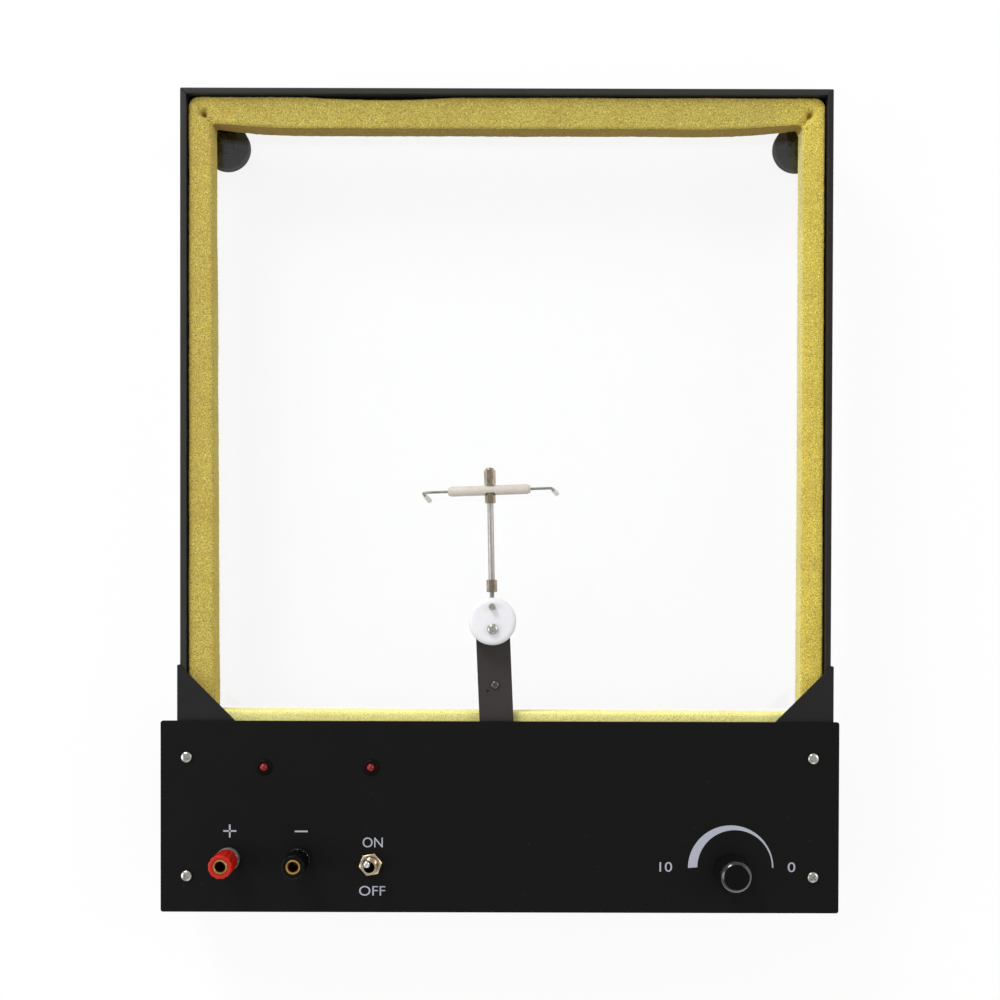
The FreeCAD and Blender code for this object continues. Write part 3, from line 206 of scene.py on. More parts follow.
def flute_cut(count: int, reach: float, radius: float) -> Limit:
    """The outer limit that a row of round flutes leaves.

    Args:
        count: how many flutes there are round the piece.
        reach: how far the centres of the flutes lie from the axis.
        radius: the radius of each flute.

    Returns:
        A function from an angle in radians to the largest radius left there.
    """
    pitch = math.tau / count

    def limit(angle: float) -> float:
        """The largest radius at an angle."""
        off = (angle + pitch / 2) % pitch - pitch / 2
        across = reach * math.sin(off)
        if abs(across) >= radius:
            return math.inf
        return reach * math.cos(off) - math.sqrt(radius * radius - across * across)

    return limit


@dataclass(frozen=True)
class Block:
    """The box round one solid, in millimetres."""

    low: Vector
    high: Vector

    @property
    def middle(self) -> Vector:
        """The centre of the box."""
        return (self.low + self.high) / 2

    @property
    def size(self) -> Vector:
        """The lengths of the box's sides."""
        return self.high - self.low

    @property
    def axis(self) -> Matrix:
        """The place on the box's upright axis, at height 0."""
        return spot(*self.middle.xy)

    @property
    def seat(self) -> Matrix:
        """The place at the middle of the box's underside."""
        return spot(*self.middle.xy, self.low.z)


# forms


class Form:
    """A mesh that is being shaped, in millimetres."""

    def __init__(self) -> None:
        """Starts an empty form."""
        self.mesh = bmesh.new()
        self.skin = 0

    def face(self, corners: Sequence[Vert]) -> None:
        """Adds a face in the present skin, unless it is there already.

        Args:
            corners: the face's corners in order.
        """
        unique = list(dict.fromkeys(corners))
        if len(unique) < 3:
            return
        try:
            self.mesh.faces.new(unique).material_index = self.skin
        except ValueError:
            LOG.debug("a face was already there")

    def bridge(self, first: list[Vert], second: list[Vert]) -> None:
        """Joins two closed rings of corners; a ring of one corner is a pole.

        Args:
            first: one ring.
            second: the other ring.
        """
        count = max(len(first), len(second))
        for step in range(count):
            following = (step + 1) % count
            low = [first[step % len(first)], first[following % len(first)]]
            high = [second[following % len(second)], second[step % len(second)]]
            self.face(low + high)

    def stack(self, rings: Sequence[list[Vert]]) -> None:
        """Joins each ring to the next."""
        for first, second in zip(rings, rings[1:]):
            self.bridge(first, second)

    def corner(self, reach: float, angle: float, z: float) -> Vert:
        """One new corner at a distance from the axis and an angle."""
        return self.mesh.verts.new((*polar(reach, angle), z))

    def ring(self, radius: float, z: float, sides: int, limit: Limit | None = None) -> list[Vert]:
        """One ring of a turned form.

        Args:
            radius: the ring's radius.
            z: its height.
            sides: how many corners it has.
            limit: the largest radius at each angle, or None.

        Returns:
            The ring's corners, or its single pole.
        """
        if radius < 1e-5:
            return [self.mesh.verts.new((0, 0, z))]
        return [self.corner(min(radius, limit(a)) if limit else radius, a, z) for a in turns(sides)]

    def lathe(
        self, profile: Sequence[Pair], sides: int = 48, limit: Limit | None = None,
        where: Matrix | None = None,
    ) -> "Form":
        """Turns a profile round Z.

        Args:
            profile: pairs of radius and height; it closes on itself unless it ends on the axis.
            sides: how many sides the turned form has.
            limit: the largest radius at each angle, or None.
            where: the place of the turned form, or None for the origin.

        Returns:
            This form.
        """
        start = len(self.mesh.verts)
        rings = [self.ring(radius, z, sides, limit) for radius, z in profile]
        if profile[0][0] > 1e-5 or profile[-1][0] > 1e-5:
            rings.append(rings[0])
        self.stack(rings)
        return self.settle(start, where)

    def settle(self, start: int, where: Matrix | None) -> "Form":
        """Moves the corners that were made since a mark, and turns all faces outwards.

        Args:
            start: how many corners there were before.
            where: the place to move to, or None.

        Returns:
            This form.
        """
        self.mesh.verts.ensure_lookup_table()
        if where:
            bmesh.ops.transform(self.mesh, matrix=where, verts=self.mesh.verts[start:])
        bmesh.ops.recalc_face_normals(self.mesh, faces=self.mesh.faces[:])
        return self

    def thread(
        self, radius: float, low: float, high: float, pitch: float = 0.8, bore: float = 0,
        sides: int = 28, where: Matrix | None = None,
    ) -> "Form":
        """Adds a screw thread along Z, with a tapered start at both ends.

        Args:
            radius: the radius over the crests.
            low: where the thread starts.
            high: where it ends.
            pitch: the distance between crests.
            bore: the radius of a hole through it, or 0.
            sides: how many sides it has.
            where: its place, or None for the origin.

        Returns:
            This form.
        """
        start = len(self.mesh.verts)
        depth = pitch * 0.55
        steps = max(4, round((high - low) / pitch * 6))
        rings = []
        for step in range(steps + 1):
            z = low + (high - low) * step / steps
            taper = min(1.0, (z - low) / pitch + 0.15, (high - z) / pitch + 0.15)
            corners = []
            for side, angle in enumerate(turns(sides)):
                phase = (z / pitch - side / sides) % 1
                tooth = abs(phase * 2 - 1) * 1.3
                reach = radius - depth * (1 - min(1.0, tooth) * taper)
                corners.append(self.corner(reach, angle, z))
            rings.append(corners)
        if bore:
            rings += [self.ring(bore, high, sides), self.ring(bore, low, sides), rings[0]]
        else:
            rings = [self.ring(0, low, sides), *rings, self.ring(0, high, sides)]
        self.stack(rings)
        return self.settle(start, where)

    def hexagon(self, flats: float, height: float, bore: float, where: Matrix | None = None) -> "Form":
        """Adds a hexagon nut whose corners are turned off at 30 degrees.

        Args:
            flats: the width across the flats.
            height: the nut's height above its origin.
            bore: the radius of its hole.
            where: its place, or None for the origin.

        Returns:
            This form.
        """
        start = len(self.mesh.verts)
        sides, half = 72, flats / 2
        slope = math.tan(math.radians(30))
        land = half * 0.96

        def wall(angle: float) -> float:
            """The hexagon's radius at an angle."""
            return half / math.cos(angle % (math.pi / 3) - math.pi / 6)

        def end(z: float, sign: int) -> list[list[Vert]]:
            """The turned end of the nut: the wall's edge, the flat land and the bore's chamfer."""
            edge = [self.corner(wall(a), a, z - sign * (wall(a) - land) * slope) for a in turns(sides)]
            chamfer = min(0.3, (land - bore) * 0.4)
            lands = ((land, z), (bore + chamfer, z), (bore, z - sign * chamfer))
            return [edge, *(self.ring(radius, rise, sides) for radius, rise in lands)]

        top, bottom = end(height, 1), end(0, -1)
        self.stack([*top[::-1], *bottom, top[-1]])
        return self.settle(start, where)

    def block(
        self, low: Sequence[float], high: Sequence[float], bevel: float = 0.2, where: Matrix | None = None
    ) -> "Form":
        """Adds a box with rounded edges.

        Args:
            low: its lowest corner.
            high: its highest corner.
            bevel: how much its edges are rounded.
            where: its place, or None for the origin.

        Returns:
            This form.
        """
        part = bmesh.new()
        bmesh.ops.create_cube(part, size=1)
        low, high = Vector(low), Vector(high)
        bmesh.ops.scale(part, vec=high - low, verts=part.verts)
        bmesh.ops.translate(part, vec=(low + high) / 2, verts=part.verts)
        if bevel:
            bmesh.ops.bevel(part, geom=part.edges[:], offset=bevel, segments=2, profile=0.5, affect="EDGES")
        self.take(part, where)
        return self

    def take(self, part: Loose, where: Matrix | None = None) -> None:
        """Copies a loose mesh into this form, in the present skin, and frees it.

        Args:
            part: the loose mesh.
            where: its place, or None for the origin.
        """
        if where:
            bmesh.ops.transform(part, matrix=where, verts=part.verts)
        for face in part.faces:
            face.material_index = self.skin
        carrier = bpy.data.meshes.new("carrier")
        part.to_mesh(carrier)
        part.free()
        self.mesh.from_mesh(carrier)
        bpy.data.meshes.remove(carrier)

    def join(self, other: "Form", where: Matrix | None = None) -> "Form":
        """Adds a copy of another form with its own skins.

        Args:
            other: the form to copy.
            where: the place of the copy, or None.

        Returns:
            This form.
        """
        carrier = bpy.data.meshes.new("carrier")
        other.mesh.to_mesh(carrier)
        if where:
            carrier.transform(where)
        self.mesh.from_mesh(carrier)
        bpy.data.meshes.remove(carrier)
        return self

    def carve(self, tool: "Form") -> "Form":
        """Cuts another form out of this one.

        Args:
            tool: the form that is cut away.

        Returns:
            This form.
        """
        blank, cutter = (present(name, bpy.data.meshes.new(name)) for name in ("blank", "cutter"))
        self.mesh.to_mesh(blank.data)
        tool.mesh.to_mesh(cutter.data)
        cut = blank.modifiers.new("cut", "BOOLEAN")
        cut.operation, cut.solver, cut.object = "DIFFERENCE", "EXACT", cutter
        graph = bpy.context.evaluated_depsgraph_get()
        carved = bpy.data.meshes.new_from_object(blank.evaluated_get(graph))
        self.mesh.clear()
        self.mesh.from_mesh(carved)
        bpy.data.meshes.remove(carved)
        for thing in (blank, cutter):
            bpy.data.meshes.remove(thing.data)
        return self

    def piece(self, name: str, crisp: float = 38, flat: bool = False) -> Thing:
        """Makes the form a piece in metres.

        Args:
            name: the piece's name.
            crisp: edges that turn by more than this many degrees stay sharp.
            flat: whether large flat faces keep an even sheen beside their rounded edges.

        Returns:
            The piece.
        """
        mesh = bpy.data.meshes.new(name)
        bmesh.ops.scale(self.mesh, vec=(MM, MM, MM), verts=self.mesh.verts)
        self.mesh.to_mesh(mesh)
        self.mesh.free()
        mesh.shade_smooth()
        mesh.set_sharp_from_angle(angle=math.radians(crisp))
        thing = present(name, mesh)
        if flat:
            thing.modifiers.new("even", "WEIGHTED_NORMAL").keep_sharp = True
        return thing


def folded(node: Thing, bevel: float) -> Form:
    """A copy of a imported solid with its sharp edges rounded.

    Args:
        node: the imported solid.
        bevel: how much the edges are rounded, in millimetres.

    Returns:
        The copy as a form.
    """
    form = Form()
    form.mesh.from_mesh(node.data)
    bmesh.ops.scale(form.mesh, vec=(1 / MM,) * 3, verts=form.mesh.verts)
    bmesh.ops.remove_doubles(form.mesh, verts=form.mesh.verts[:], dist=0.002)
    bmesh.ops.dissolve_limit(
        form.mesh, angle_limit=math.radians(0.6), verts=form.mesh.verts[:], edges=form.mesh.edges[:]
    )
    for face in form.mesh.faces:
        face.material_index = 0
    sharp = [
        edge
        for edge in form.mesh.edges
        if len(edge.link_faces) == 2 and edge.calc_face_angle(0) > math.radians(32)
    ]
    bmesh.ops.bevel(
        form.mesh, geom=sharp, offset=bevel, segments=2, profile=0.5, affect="EDGES", clamp_overlap=True
    )
    bmesh.ops.recalc_face_normals(form.mesh, faces=form.mesh.faces[:])
    return form


def swept(path: Sequence[Vector], radius: float, sides: int = 16) -> Form:
    """A round wire along a path, with rounded ends.

    Args:
        path: the points that the wire follows.
        radius: the wire's radius.
        sides: how many sides it has.

    Returns:
        The wire as a form.
    """
    form = Form()
    rings, loops = [], []
    normal = Vector((0, 0, 1))
    for index, point in enumerate(path):
        before, after = path[max(index - 1, 0)], path[min(index + 1, len(path) - 1)]
        along = (after - before).normalized()
        normal = (normal - along * normal.dot(along)).normalized()
        rings.append((point, along, normal, along.cross(normal)))
    first, last = rings[0], rings[-1]
    layers = [(first, -radius * 0.9, 0.0), (first, -radius * 0.6, 0.7)]
    layers += [(ring, 0.0, 1.0) for ring in rings]
    layers += [(last, radius * 0.6, 0.7), (last, radius * 0.9, 0.0)]
    for (point, along, up, side), shift, share in layers:
        middle = point + along * shift
        if share == 0:
            loops.append([form.mesh.verts.new(middle)])
            continue
        spokes = [up * x + side * y for x, y in (polar(1, angle) for angle in turns(sides))]
        loops.append([form.mesh.verts.new(middle + spoke * radius * share) for spoke in spokes])
    form.stack(loops)
    return form.settle(0, None)


# finishes


class Graph:
    """A material while its nodes are being wired."""

    def __init__(self, name: str) -> None:
        """Starts a material with one principled shader.

        Args:
            name: the material's name.
        """
        self.material = bpy.data.materials.new(name)
        self.material.use_nodes = True
        self.tree = self.material.node_tree
        self.tree.nodes.clear()
        self.shader = self.add("ShaderNodeBsdfPrincipled")
        self.output = self.add("ShaderNodeOutputMaterial")
        self.join(self.shader.outputs["BSDF"], self.output.inputs["Surface"])
        self.place = self.add("ShaderNodeTexCoord").outputs["Object"]

    def add(self, kind: str, **settings: object) -> bpy.types.Node:
        """Adds a node and sets its plain settings."""
        made = self.tree.nodes.new(kind)
        for name, setting in settings.items():
            setattr(made, name, setting)
        return made

    def join(self, source: Socket, target: Socket) -> None:
        """Joins two sockets."""
        self.tree.links.new(source, target)

    def plain(self, kind: str, **values: float | tuple[float, ...]) -> bpy.types.Node:
        """Adds a node and sets its sockets, named with underscores for spaces."""
        made = self.add(kind)
        for name, setting in values.items():
            made.inputs[name.replace("_", " ")].default_value = setting
        return made

    def cover(self, share: Socket, second: Socket) -> None:
        """Lets a second shader take over by a share, on its way to the output."""
        either = self.add("ShaderNodeMixShader")
        for source, target in zip((share, self.shader.outputs["BSDF"], second), either.inputs):
            self.join(source, target)
        self.join(either.outputs[0], self.output.inputs["Surface"])

    def shade(self, **values: float | tuple[float, ...]) -> None:
        """Sets the shader's own sockets, named with underscores for spaces."""
        for name, setting in values.items():
            self.shader.inputs[name.replace("_", " ")].default_value = setting

    def stretched(self, scale: Triple) -> Socket:
        """The place on the piece, stretched along its axes."""
        mapping = self.plain("ShaderNodeMapping", Scale=scale)
        self.join(self.place, mapping.inputs["Vector"])
        return mapping.outputs["Vector"]

    def noise(
        self, size: float, detail: float = 3, rough: float = 0.55, place: Socket | None = None
    ) -> Socket:
        """Soft random patches.

        Args:
            size: the width of a patch in millimetres.
            detail: how many finer layers there are.
            rough: how strong the finer layers are.
            place: where it is read, or None for the plain place.

        Returns:
            The strength, about 0 to 1.
        """
        made = self.plain("ShaderNodeTexNoise", Scale=1 / (size * MM), Detail=detail, Roughness=rough)
        self.join(place or self.place, made.inputs["Vector"])
        return made.outputs["Fac"]

    def cells(self, size: float, place: Socket | None = None) -> Socket:
        """The distance to the nearest of many scattered points, as a share of their spacing."""
        made = self.plain("ShaderNodeTexVoronoi", Scale=1 / (size * MM))
        self.join(place or self.place, made.inputs["Vector"])
        return made.outputs["Distance"]

    def ramp(self, source: Socket, *stops: tuple[float, Tone | float]) -> Socket:
        """Turns a strength into a colour or another strength.

        Args:
            source: the strength.
            stops: pairs of a strength and a screen colour or a grey level from 0 to 1.

        Returns:
            The colour.
        """
        made = self.add("ShaderNodeValToRGB")
        line = made.color_ramp.elements
        while len(line) < len(stops):
            line.new(1.0)
        for element, (at, value) in zip(line, stops):
            element.position = at
            element.color = linear(value) if isinstance(value, tuple) else (value, value, value, 1)
        self.join(source, made.inputs["Fac"])
        return made.outputs["Color"]

    def mix(self, factor: Socket, first: Socket | Tone, second: Socket | Tone) -> Socket:
        """Mixes two colours, each a socket or a plain screen colour.

        Args:
            factor: the share of the second colour.
            first: one colour.
            second: the other.

        Returns:
            The mixed colour.
        """
        made = self.add("ShaderNodeMix", data_type="RGBA")
        self.join(factor, made.inputs[0])
        for socket, value in ((made.inputs[6], first), (made.inputs[7], second)):
            if isinstance(value, tuple):
                socket.default_value = linear(value)
            else:
                self.join(value, socket)
        return made.outputs[2]

    def colour(self, source: Socket) -> None:
        """Sends a colour to the shader."""
        self.join(source, self.shader.inputs["Base Color"])

    def ranged(self, source: Socket, **limits: float) -> Socket:
        """A strength brought from one range, From_Min to From_Max, to another, To_Min to To_Max."""
        made = self.plain("ShaderNodeMapRange", **limits)
        self.join(source, made.inputs["Value"])
        return made.outputs["Result"]

    def roughness(self, source: Socket, low: float, high: float) -> None:
        """Lets a strength drive the roughness between two values."""
        self.join(self.ranged(source, To_Min=low, To_Max=high), self.shader.inputs["Roughness"])

    def bump(self, height: Socket, depth: float, strength: float = 1.0) -> None:
        """Adds relief of a depth in millimetres, over any relief already there.

        Args:
            height: the relief.
            depth: how deep it is.
            strength: how much of it shows, from 0 to 1.
        """
        made = self.plain("ShaderNodeBump", Distance=depth * MM, Strength=strength)
        self.join(height, made.inputs["Height"])
        target = self.shader.inputs["Normal"]
        if target.is_linked:
            self.join(target.links[0].from_socket, made.inputs["Normal"])
        self.join(made.outputs["Normal"], target)


@dataclass(frozen=True)
class Finish:
    """What every finish has: a name, a screen colour and a roughness."""

    name: str
    tone: Tone
    roughness: float = 0.5

    def material(self) -> bpy.types.Material:
        """The finish's material, made once.

        Returns:
            The material.
        """
        own_name = f"{self.name}_finish"
        found = bpy.data.materials.get(own_name)
        if found:
            return found
        graph = Graph(own_name)
        graph.shade(Roughness=self.roughness, Base_Color=linear(self.tone))
        self.wire(graph)
        return graph.material

    def shaded(self, share: float) -> Tone:
        """The finish's colour made lighter or darker by a share."""
        return scaled(self.tone, share)

    def wire(self, graph: Graph) -> None:
        """Adds what sets this finish apart."""
        graph.roughness(graph.noise(3.0), self.roughness * 0.85, self.roughness * 1.15)


@dataclass(frozen=True)
class Enamel(Finish):
    """Baked paint on sheet metal: fine orange peel, faint mottling and a few dust specks."""

    peel: float = 0.012
    sheen: float = 0.25
    dust: float = 0.05
    dust_tone: Tone = (150, 150, 152)

    def wire(self, graph: Graph) -> None:
        """Adds mottling, dust specks, uneven gloss and orange peel.

        Args:
            graph: the material that is being wired.
        """
        graph.shade(Specular_IOR_Level=self.sheen)
        mottle = graph.noise(14.0, 4)
        body = graph.mix(mottle, self.shaded(0.86), self.shaded(1.16))
        specks = graph.cells(3.4)
        grain = graph.ramp(specks, (0.0, 1.0), (self.dust, 1.0), (self.dust + 0.03, 0.0))
        patches = graph.ramp(graph.noise(9.0, 2), (0.5, 0.0), (0.62, 0.32))
        faint = graph.add("ShaderNodeMix", data_type="FLOAT")
        graph.join(grain, faint.inputs[0])
        graph.join(patches, faint.inputs[3])
        graph.colour(graph.mix(faint.outputs[0], body, self.dust_tone))
        graph.roughness(graph.noise(22.0, 4), self.roughness * 0.82, self.roughness * 1.2)
        graph.bump(graph.noise(0.55, 2), self.peel)


@dataclass(frozen=True)
class Foam(Finish):
    """Open-cell foam: tiny dark pores among bright cell walls, with paler and browner patches."""

    stain: Tone = (164, 128, 58)
    # A darker brown round each fold's dimple: painted shade.
    crease: Tone = (138, 96, 44)
    folds: tuple[Triple, ...] = ()
    fold_reach: float = 2.0
    ends: tuple[tuple[float, float, Tone], ...] = ()
    pored: float = 1.0

    def walls(self, graph: Graph, fine: Socket, tone: Tone) -> Socket:
        """The colours of the cell walls round one tone."""
        return graph.ramp(fine, (0.34, scaled(tone, 0.78)), (0.5, tone), (0.68, scaled(tone, 1.22)))

    def wire(self, graph: Graph) -> None:
        """Adds pores, bright cell walls, patches, painted glints, a brown painted shade round each fold's
        dimple and fine relief.

        Args:
            graph: the material that is being wired.
        """
        graph.shade(Specular_IOR_Level=0.15, Sheen_Weight=0.1, Sheen_Roughness=0.6)
        fine = graph.noise(0.45, 2, 0.6)
        body = self.walls(graph, fine, self.tone)
        # Towards each end the tone turns into another strip's tone: painted light and shade.
        for start, end, tone in self.ends:
            apart = graph.add("ShaderNodeSeparateXYZ")
            graph.join(graph.place, apart.inputs[0])
            turn = graph.ranged(apart.outputs["X"], From_Min=start * MM, From_Max=end * MM)
            body = graph.mix(turn, body, self.walls(graph, fine, tone))
        pores = graph.ramp(graph.noise(0.8, 1, 0.4), (0.28, 0.5 * self.pored), (0.42, 0.0))
        patches = graph.ramp(graph.noise(16.0, 4), (0.38, 0.2 * self.pored), (0.6, 0.0))
        stained = graph.mix(patches, body, self.stain)
        colour = graph.mix(pores, stained, self.shaded(0.6))
        # Small bright specks: painted glints.
        painted_glints = graph.ramp(graph.cells(2.2), (0.0, 0.5), (0.1, 0.5), (0.16, 0.0))
        colour = graph.mix(painted_glints, colour, self.shaded(1.45))
        # Round each fold's dimple the colour turns darker brown: painted shade.
        for fold in self.folds:
            near = graph.add("ShaderNodeVectorMath", operation="DISTANCE")
            near.inputs[1].default_value = tuple(length * MM for length in fold)
            graph.join(graph.place, near.inputs[0])
            limits = {"From_Max": self.fold_reach * MM, "To_Min": 0.85, "To_Max": 0.0}
            colour = graph.mix(graph.ranged(near.outputs["Value"], **limits), colour, self.crease)
        graph.colour(colour)
        graph.bump(fine, 0.16, 0.5)
        graph.bump(graph.noise(2.2, 2), 0.4, 0.5)


@dataclass(frozen=True)
class Glass(Finish):
    """Clear float glass that lets lamplight through to what lies below."""

    tint: Tone = (246, 250, 249)

    def wire(self, graph: Graph) -> None:
        """Adds clear transmission, and lets the lamps' rays pass.

        Args:
            graph: the material that is being wired.
        """
        graph.shade(Transmission_Weight=1.0, IOR=1.5)
        graph.bump(graph.noise(60.0, 2), 0.02, 0.2)
        graph.roughness(graph.noise(25.0, 3), 0.0, 0.02)
        clear = graph.plain("ShaderNodeBsdfTransparent", Color=linear(self.tint))
        graph.cover(graph.add("ShaderNodeLightPath").outputs["Is Shadow Ray"], clear.outputs[0])


@dataclass(frozen=True)
class Metal(Finish):
    """Bare or plated metal with a fine machined grain."""

    grain: Triple = (1, 1, 1)
    dull: Tone | None = None

    def wire(self, graph: Graph) -> None:
        """Adds metal reflection, a brushed grain and duller patches.

        Args:
            graph: the material that is being wired.
        """
        graph.shade(Metallic=1.0)
        lines = graph.noise(0.35, 2, 0.6, graph.stretched(self.grain))
        patches = graph.ramp(graph.noise(2.6, 4), (0.4, 0.0), (0.66, 0.75))
        graph.colour(graph.mix(patches, self.tone, self.dull or self.shaded(0.78)))
        graph.roughness(lines, self.roughness * 0.7, self.roughness * 1.35)
        graph.bump(lines, 0.006, 0.6)


@dataclass(frozen=True)
class Plastic(Finish):
    """Moulded plastic, matt to glossy, with a light coat where it shines."""

    coat: float = 0.0
    milky: float = 0.0
    sheen: float = 0.5
    grain: float = 0.004
    mottle: float = 0.06

    def wire(self, graph: Graph) -> None:
        """Adds gloss, soft light inside pale plastic, and a moulded grain.

        Args:
            graph: the material that is being wired.
        """
        graph.shade(Coat_Weight=self.coat, Coat_Roughness=0.12, Specular_IOR_Level=self.sheen)
        graph.shade(Subsurface_Weight=self.milky, Subsurface_Scale=0.0015)
        darker, lighter = self.shaded(1 - self.mottle), self.shaded(1 + self.mottle)
        graph.colour(graph.mix(graph.noise(2.4, 3), darker, lighter))
        graph.roughness(graph.noise(1.2, 3), self.roughness * 0.8, self.roughness * 1.2)
        graph.bump(graph.noise(0.3, 2), self.grain)


@dataclass(frozen=True)
class Clear(Plastic):
    """Clear or tinted plastic that light passes through."""

    depth: float = 0.8

    def wire(self, graph: Graph) -> None:
        """Adds transmission to plastic."""
        graph.shade(Transmission_Weight=self.depth, IOR=1.49)
        super().wire(graph)


@dataclass(frozen=True)
class Rubber(Finish):
    """Matt black rubber with dust in its grain."""

    def wire(self, graph: Graph) -> None:
        """Adds a dusty grain.

        Args:
            graph: the material that is being wired.
        """
        graph.shade(Specular_IOR_Level=0.3)
        dust = graph.ramp(graph.noise(1.8, 5), (0.45, 0.0), (0.8, 0.4))
        graph.colour(graph.mix(dust, self.tone, self.shaded(1.7)))
        graph.bump(graph.noise(0.35, 3), 0.03)


@dataclass(frozen=True)
class Laminate(Finish):
    """A circuit board's lacquered laminate with its weave and tracks."""

    def wire(self, graph: Graph) -> None:
        """Adds tracks and weave.

        Args:
            graph: the material that is being wired.
        """
        tracks = graph.ramp(graph.noise(3.2, 1, 0.3, graph.stretched((0.2, 1, 1))), (0.5, 0.0), (0.52, 0.8))
        graph.colour(graph.mix(tracks, self.tone, self.shaded(1.5)))
        graph.bump(graph.noise(0.3, 1), 0.01)


@dataclass(frozen=True)
class Ink(Finish):
    """Screen-printed ink, a little uneven."""

    def wire(self, graph: Graph) -> None:
        """Adds thin places.

        Args:
            graph: the material that is being wired.
        """
        thin = graph.ramp(graph.noise(0.5, 3), (0.3, 0.0), (0.75, 0.5))
        graph.colour(graph.mix(thin, self.tone, self.shaded(0.82)))
        graph.shade(Specular_IOR_Level=0.2)


# The rear strip's tone turns towards the left and right strips' tones at its ends: painted light and shade.
ENDS_PAINTED_LIGHT = ((-108.0, -124.0, (191, 172, 84)), (112.0, 128.0, (205, 186, 82)))
FOLDS = ((-123.7, 160.6, 34.0), (128.1, 160.6, 34.0))


class Finishes(Enum):
    """Every finish on the apparatus."""

    FRAME = Enamel("frame_enamel", (40, 39, 38), 0.42, peel=0.016, sheen=0.34)
    # The right wall's paint: a darker copy of the frame's paint, painted shade.
    FRAME_PAINTED_SHADE = Enamel("frame_enamel_painted_shade", (31, 28, 26), 0.42, peel=0.016, sheen=0.28)
    PANEL = Enamel("panel_enamel", (12, 11, 10), 0.5, peel=0.02, sheen=0.13, dust=0.02)
    GUSSET = Enamel("gusset_enamel", (30, 29, 29), 0.5, peel=0.02, sheen=0.18, dust=0.02)
    TRAY = Enamel("tray_enamel", (16, 16, 16), 0.5, peel=0.02, sheen=0.27)
    PLATE = Enamel("plate_enamel", (13, 12, 11), 0.7, peel=0.01, sheen=0.0, dust=0.0)
    ARM = Enamel("arm_enamel", (51, 47, 46), 0.45, peel=0.014, sheen=0.27)
    SEAL = Rubber("seal_rubber", (31, 31, 31), 0.8)
    GLASS = Glass("tank_glass", (255, 255, 255), 0.0)
    # Foam tones: each strip has its own tone, lighter or darker by how the light falls on it, which is
    # painted light and shade. The front strip's bright tone is painted light where the panel shades it.
    FOAM_REAR = Foam("foam_rear", (184, 168, 82), 0.95, folds=FOLDS, ends=ENDS_PAINTED_LIGHT)
    FOAM_LEFT = Foam("foam_left", (191, 172, 84), 0.95)
    FOAM_RIGHT = Foam("foam_right", (205, 186, 82), 0.95)
    FOAM_FRONT = Foam("foam_front", (255, 246, 150), 0.95, pored=0.3)
    # The inner faces' tones: the rear one darker, as painted shade; the left and right ones lighter, as
    # painted light.
    FACE_REAR_PAINTED_SHADE = Foam("foam_rear_face_painted_shade", (146, 121, 34), 0.95)
    FACE_LEFT_PAINTED_LIGHT = Foam("foam_left_face_painted_light", (196, 176, 79), 0.95)
    FACE_RIGHT_PAINTED_LIGHT = Foam("foam_right_face_painted_light", (213, 202, 122), 0.95)
    FOOT = Rubber("foot_rubber", (15, 10, 8), 0.75)
    ZINC = Metal("stud_zinc", (36, 32, 29), 0.5, grain=(1, 1, 0.15))
    SCREW = Metal("screw_nickel", (205, 203, 198), 0.24)
    BLACKENED = Metal("screw_blackened", (112, 106, 104), 0.34)
    LAMP = Plastic("lamp_red", (112, 10, 11), 0.1, grain=0.0)
    BEZEL = Plastic("bezel_black", (9, 8, 8), 0.5, sheen=0.1)
    SMOKE = Clear("collar_smoke", (150, 147, 145), 0.18, coat=0.3, depth=0.55)
    COLLAR = Plastic("collar_black", (16, 16, 16), 0.35, sheen=0.27)
    BRASS = Metal("post_brass", (214, 178, 104), 0.22, dull=(172, 138, 76))
    # The socket's darker brass is painted shade in the hole.
    SOCKET = Metal("socket_painted_shade", (150, 102, 58), 0.45)
    NICKEL = Metal("washer_nickel", (206, 202, 192), 0.24)
    CAP_RED = Plastic("cap_red", (185, 25, 14), 0.4, coat=0.05, sheen=0.27)
    CAP_BLACK = Plastic("cap_black", (6, 6, 6), 0.4, coat=0.0, sheen=0.12)
    SWITCH_CASE = Plastic("switch_case", (37, 48, 89), 0.45)
    SWITCH = Metal("switch_nickel", (216, 198, 166), 0.3, dull=(184, 164, 132))
    # A dark colour for the bush's bore and the lever's ball in it: painted shade.
    BORE_PAINTED_SHADE = Metal("steel_painted_shade", (34, 29, 25), 0.5)
    CHROME = Metal("lever_chrome", (226, 224, 220), 0.1)
    FLUTES = Plastic("knob_flutes", (8, 8, 8), 0.16, coat=1.0, sheen=0.6)
    POT = Metal("pot_metal", (176, 176, 172), 0.35)
    KNOB = Plastic("knob_black", (4, 3, 3), 0.3, coat=0.0, sheen=0.14)
    BOARD = Laminate("board_green", (24, 86, 46), 0.4)
    STEEL = Metal("bracket_steel", (170, 172, 172), 0.4)
    PIN = Metal("pin_steel", (190, 190, 188), 0.2)
    BUSH = Rubber("bush_rubber", (35, 34, 33), 0.75)
    MOTOR = Metal("motor_steel", (186, 188, 188), 0.28, grain=(0.2, 1, 1))
    WEIGHT = Metal("weight_brass", (196, 160, 92), 0.3)
    NYLON = Plastic("disc_nylon", (230, 230, 233), 0.4, milky=0.12, mottle=0.01)
    ROD = Metal("rod_nickel", (182, 179, 178), 0.42, grain=(1, 0.1, 1), dull=(164, 160, 158))
    HEX = Metal("coupling_brass", (158, 146, 128), 0.3, dull=(122, 110, 92))
    CAP_NUT = Metal("cap_nut_nickel", (172, 162, 146), 0.28, dull=(132, 120, 102))
    TUBE = Plastic("tube_white", (202, 195, 184), 0.42, milky=0.05)
    WIRE = Metal("dipper_steel", (164, 160, 153), 0.4)
    SLEEVE = Plastic("sleeve_pale", (232, 231, 226), 0.45, milky=0.15)
    INK = Ink("legend_ink", (176, 179, 191), 0.55)


# the model and its sub-assemblies


